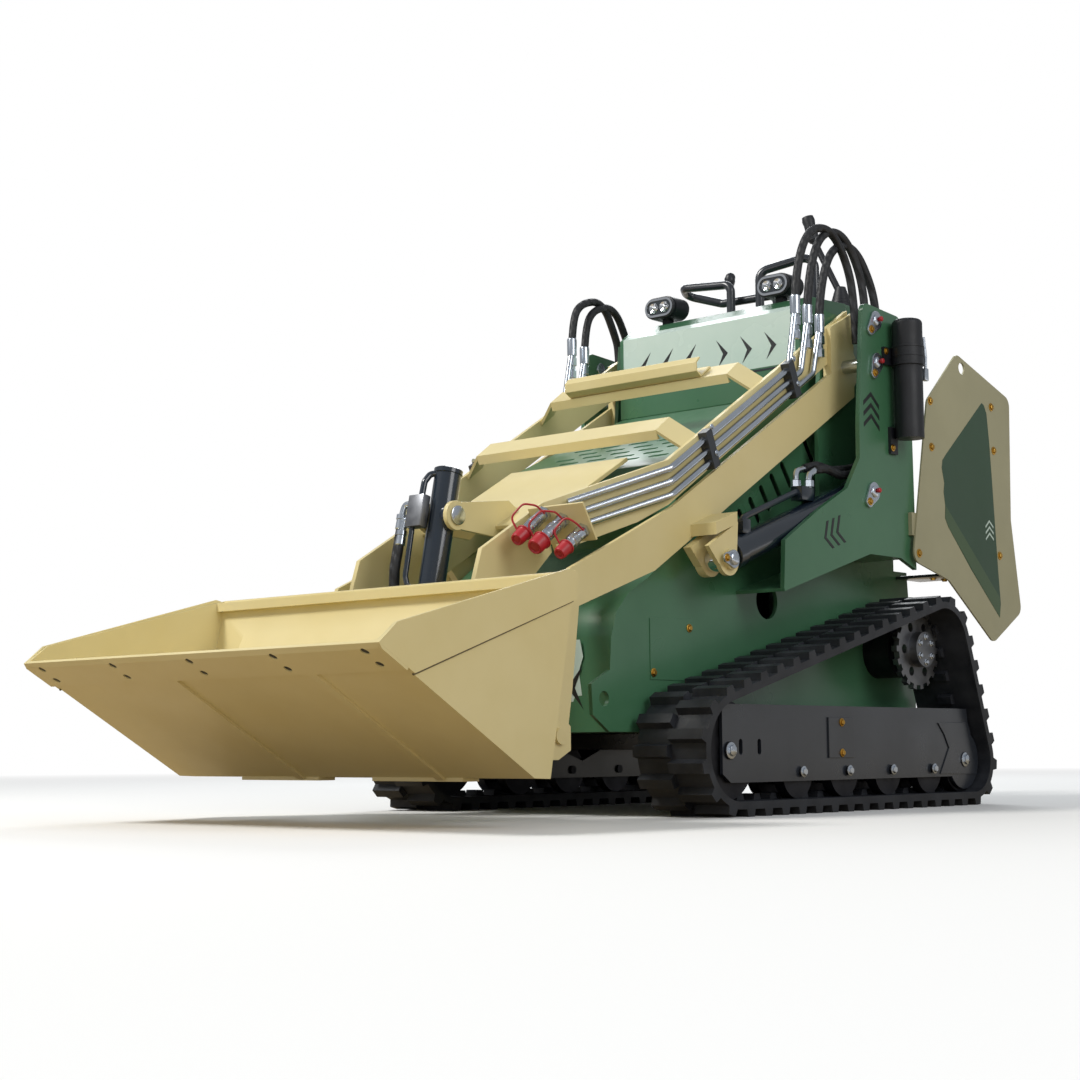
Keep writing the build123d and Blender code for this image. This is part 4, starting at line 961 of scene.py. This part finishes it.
def dress_tilt_cylinder():
    """The tilt cylinder's port block, pipe, elbows and hoses on its right side."""
    trunnion = Vector((0, -552.0, 680.0))
    down = Vector((0, -0.2042, -0.9789))
    front = Vector((0, down.z, -down.y))

    def at(distance, x, ahead=0.0):
        """A place by its distance down the cylinder, across it and in front of it."""
        return trunnion + down * distance + Vector((x, 0, 0)) + front * ahead

    body = "tilt_cylinder_barrel"
    block = brick((-24.0, -12.0, -38.0), (24.0, 12.0, 38.0), 2.0)
    turn = Matrix.Rotation(math.atan2(down.y, -down.z), 4, "X")
    block.data.transform(Matrix.Translation(at(-2, -32, 47)) @ turn)
    keep(block, "tilt_port_block", body, WORN_STEEL)
    upper = pipe([at(-36, -26, 47), at(-74, -26, 45), at(-95, -22, 34), at(-98, -12, 24)], 7.5, 20.0, 4)
    lower = pipe([at(34, -42, 47), at(150, -42, 45), at(172, -38, 38), at(176, -20, 26)], 6.5, 14.0, 4)
    for piece in (upper, lower):
        keep(piece, "tilt_pipe", body, NAVY)
    for drop, out in ((-22, 76), (16, 68)):
        elbow = pipe([at(drop, -54, 47), at(drop, -out, 47), at(drop + 28, -out - 4, 48)], 8.0, 14.0, 4)
        keep(elbow, "tilt_elbows", body, ZINC)
        sleeve = turned([(0.0, 9.0), (1.0, 12.5), (12.0, 12.5), (13.0, 11.0), (34.0, 11.6), (36.0, 10.0)],
                        aimed(at(drop + 24, -out - 4, 48), down), 20)
        keep(sleeve, "tilt_elbows", body, ZINC)
        hose = pipe([at(drop + 54, -out - 4, 48), at(130, -out - 8, 46), at(190, -out - 14, 30),
                     at(214, -out - 16, -14), at(150, -out - 20, -64), at(40, -out - 22, -96),
                     at(-10, -out - 22, -128)], 9.5, 50.0, 4)
        keep(hose, "tilt_hoses", body, HOSE)
    gland = turned([(0.0, 30.0), (1.5, 34.5), (26.0, 34.5), (28.0, 30.0), (30.0, 24.0)],
                   aimed(at(232, 0), down), 36)
    keep(gland, "tilt_gland", body, NAVY)
    cap = turned([(0.0, 30.0), (2.0, 33.5), (12.0, 33.5), (14.0, 30.0)], aimed(at(-100, 0), -down), 36)
    keep(cap, "tilt_gland", body, NAVY)
    for x in (-52.0, 52.0):
        side = math.copysign(1.0, x)
        washer = turned([(0.0, 20.0), (1.0, 22.0), (4.0, 22.0), (5.0, 20.0)],
                        aimed((x - 2.0 * side, trunnion.y, trunnion.z), (side, 0, 0)), 28)
        keep(washer, "trunnion_washers", body, ZINC)


def dress_step():
    """Raised tread across the platform."""
    for row in range(7):
        # Every second row is set over by half a pitch and is one short
        for column in range(8 if row % 2 else 9):
            x = -240.0 + column * 60.0 + (30.0 if row % 2 else 0.0)
            turn = 45.0 if (row + column) % 2 else -45.0
            turned_by = Matrix.Rotation(math.radians(turn), 4, "Z")
            place = Matrix.Translation((x, 950.0 + row * 32.0, 328.0)) @ turned_by
            keep(plate(stadium(30.0, 8.0, 5), 2.0, place, 0.6), "step_tread", "step", BLACK)


def dress_bucket():
    """Weld beads under the side cutters, darkened as painted shadow, and painted shade inside the lip's bolt
    holes.
    """
    # The bead's dark colour is painted shadow along the step under the side cutter
    seam = pipe([(554.0, -1187.0, 290.0), (554.0, -960.0, 370.0), (554.0, -740.0, 448.0)], 2.6, 5.0, 2)
    keep_both(seam, "side_cutter_welds", "bucket", WELD_PAINTED_SHADOW)
    # The holes lie in two rows along the lip's slope
    lip, heel = Vector((0.0, -1277.0, 345.0)), Vector((0.0, -857.0, 97.0))
    along = (heel - lip).normalized()
    under = Vector((0.0, along.z, -along.y))
    for x in (-508.0, -254.0, 0.0, 254.0, 508.0):
        for distance in (19.0, 62.0):
            spot = lip + along * distance + under * 1.0 + Vector((x, 0.0, 0.0))
            # A black disc in each hole is painted shade, where the hole lies in shadow
            core = turned([(0.0, 8.9), (2.6, 8.9), (2.8, 8.0)], aimed(spot, under), 20)
            keep(core, "lip_hole_depths", "bucket", MARK_BLACK_AND_PAINTED_SHADE)


def dress_rear():
    """The chassis's cheeks behind the motors, and the brackets that tie the side guards to the body."""
    cheek = [(790.0, 192.0), (958.0, 192.0), (962.0, 300.0), (936.0, 560.0), (930.0, 626.0), (790.0, 626.0)]
    keep_both(plate(cheek, 10.0, on_side(313.5), 1.0), "rear_cheeks", "machine", GREEN)
    keep_both(brick((324.0, 872.0, 604.0), (479.0, 1000.0, 612.0), 1.5), "guard_brackets", "machine", BLACK)
    for y in (905.0, 965.0):
        keep_both(bolt((420.0, y, 604.0), (0, 0, -1), 7.0, 5.0), "bracket_bolts", "machine", BRASS)


def dress_back():
    """The operator's side: a padded rest, a louvred door with its latches, and a small display."""
    pad = [(x, 1200.0 + z) for x, z in stadium(420.0, 150.0, 8)]
    keep(plate(pad, 24.0, on_front(824.0), 8.0), "hip_pad", "machine", PLASTIC)
    door = [(-245.0, 806.0), (245.0, 806.0), (245.0, 1046.0), (-245.0, 1046.0)]
    keep(plate(door, 2.6, on_front(862.6), 0.8), "rear_door", "machine", GREEN)
    for row in range(6):
        for x in (-100.0, 100.0):
            slot = [(x + a, 850.0 + row * 30.0 + b) for a, b in stadium(150.0, 11.0, 6)]
            keep(plate(slot, 1.4, on_front(863.6), 0.4), "rear_door_louvres", "machine", PLASTIC)
    for x in (-222.0, 222.0):
        latch = turned([(0.0, 15.0), (3.0, 15.0), (5.0, 12.0), (5.5, 5.0)],
                       aimed((x, 862.4, 926.0), (0, 1, 0)), 28)
        keep(latch, "rear_door_latches", "machine", ZINC)
    keep(brick((50.0, 756.0, 1338.0), (160.0, 795.0, 1352.0), 3.0), "display_housing", "machine", PLASTIC)
    glass = brick((58.0, 762.0, 1351.0), (128.0, 790.0, 1352.8), 0.5)
    keep(glass, "display_glass", "machine", LENS, slot="black_plastic")
    knob = turned([(0.0, 9.0), (2.0, 9.0), (3.0, 7.0), (9.0, 6.0), (10.0, 4.0)],
                  aimed((145.0, 776.0, 1351.8), (0, 0, 1)), 24)
    keep(knob, "display_knob", "machine", ZINC)
    for x in (-262.0, 262.0):
        for z in (1095.0, 1310.0):
            keep(bolt((x, 800.0, z), (0, 1, 0), 6.5, 4.0), "console_bolts", "machine", BRASS)


def dress_details():
    """All that the script adds to the CAD's own forms."""
    for dress in (dress_back, dress_bucket, dress_rear, dress_pins, dress_marks, dress_hood, dress_lamps,
                  dress_ferrules, dress_clamps, dress_lift_cylinders, dress_canister, dress_guards,
                  dress_track_frames, dress_chassis, dress_couplers, dress_controls, dress_tilt_cylinder,
                  dress_step):
        dress()
    settle_kit()


make_camera()
make_hoses()
make_world()
make_lights()
make_stage()
dress_nodes()
dress_details()

bpy.context.scene.view_settings.view_transform = "Standard"
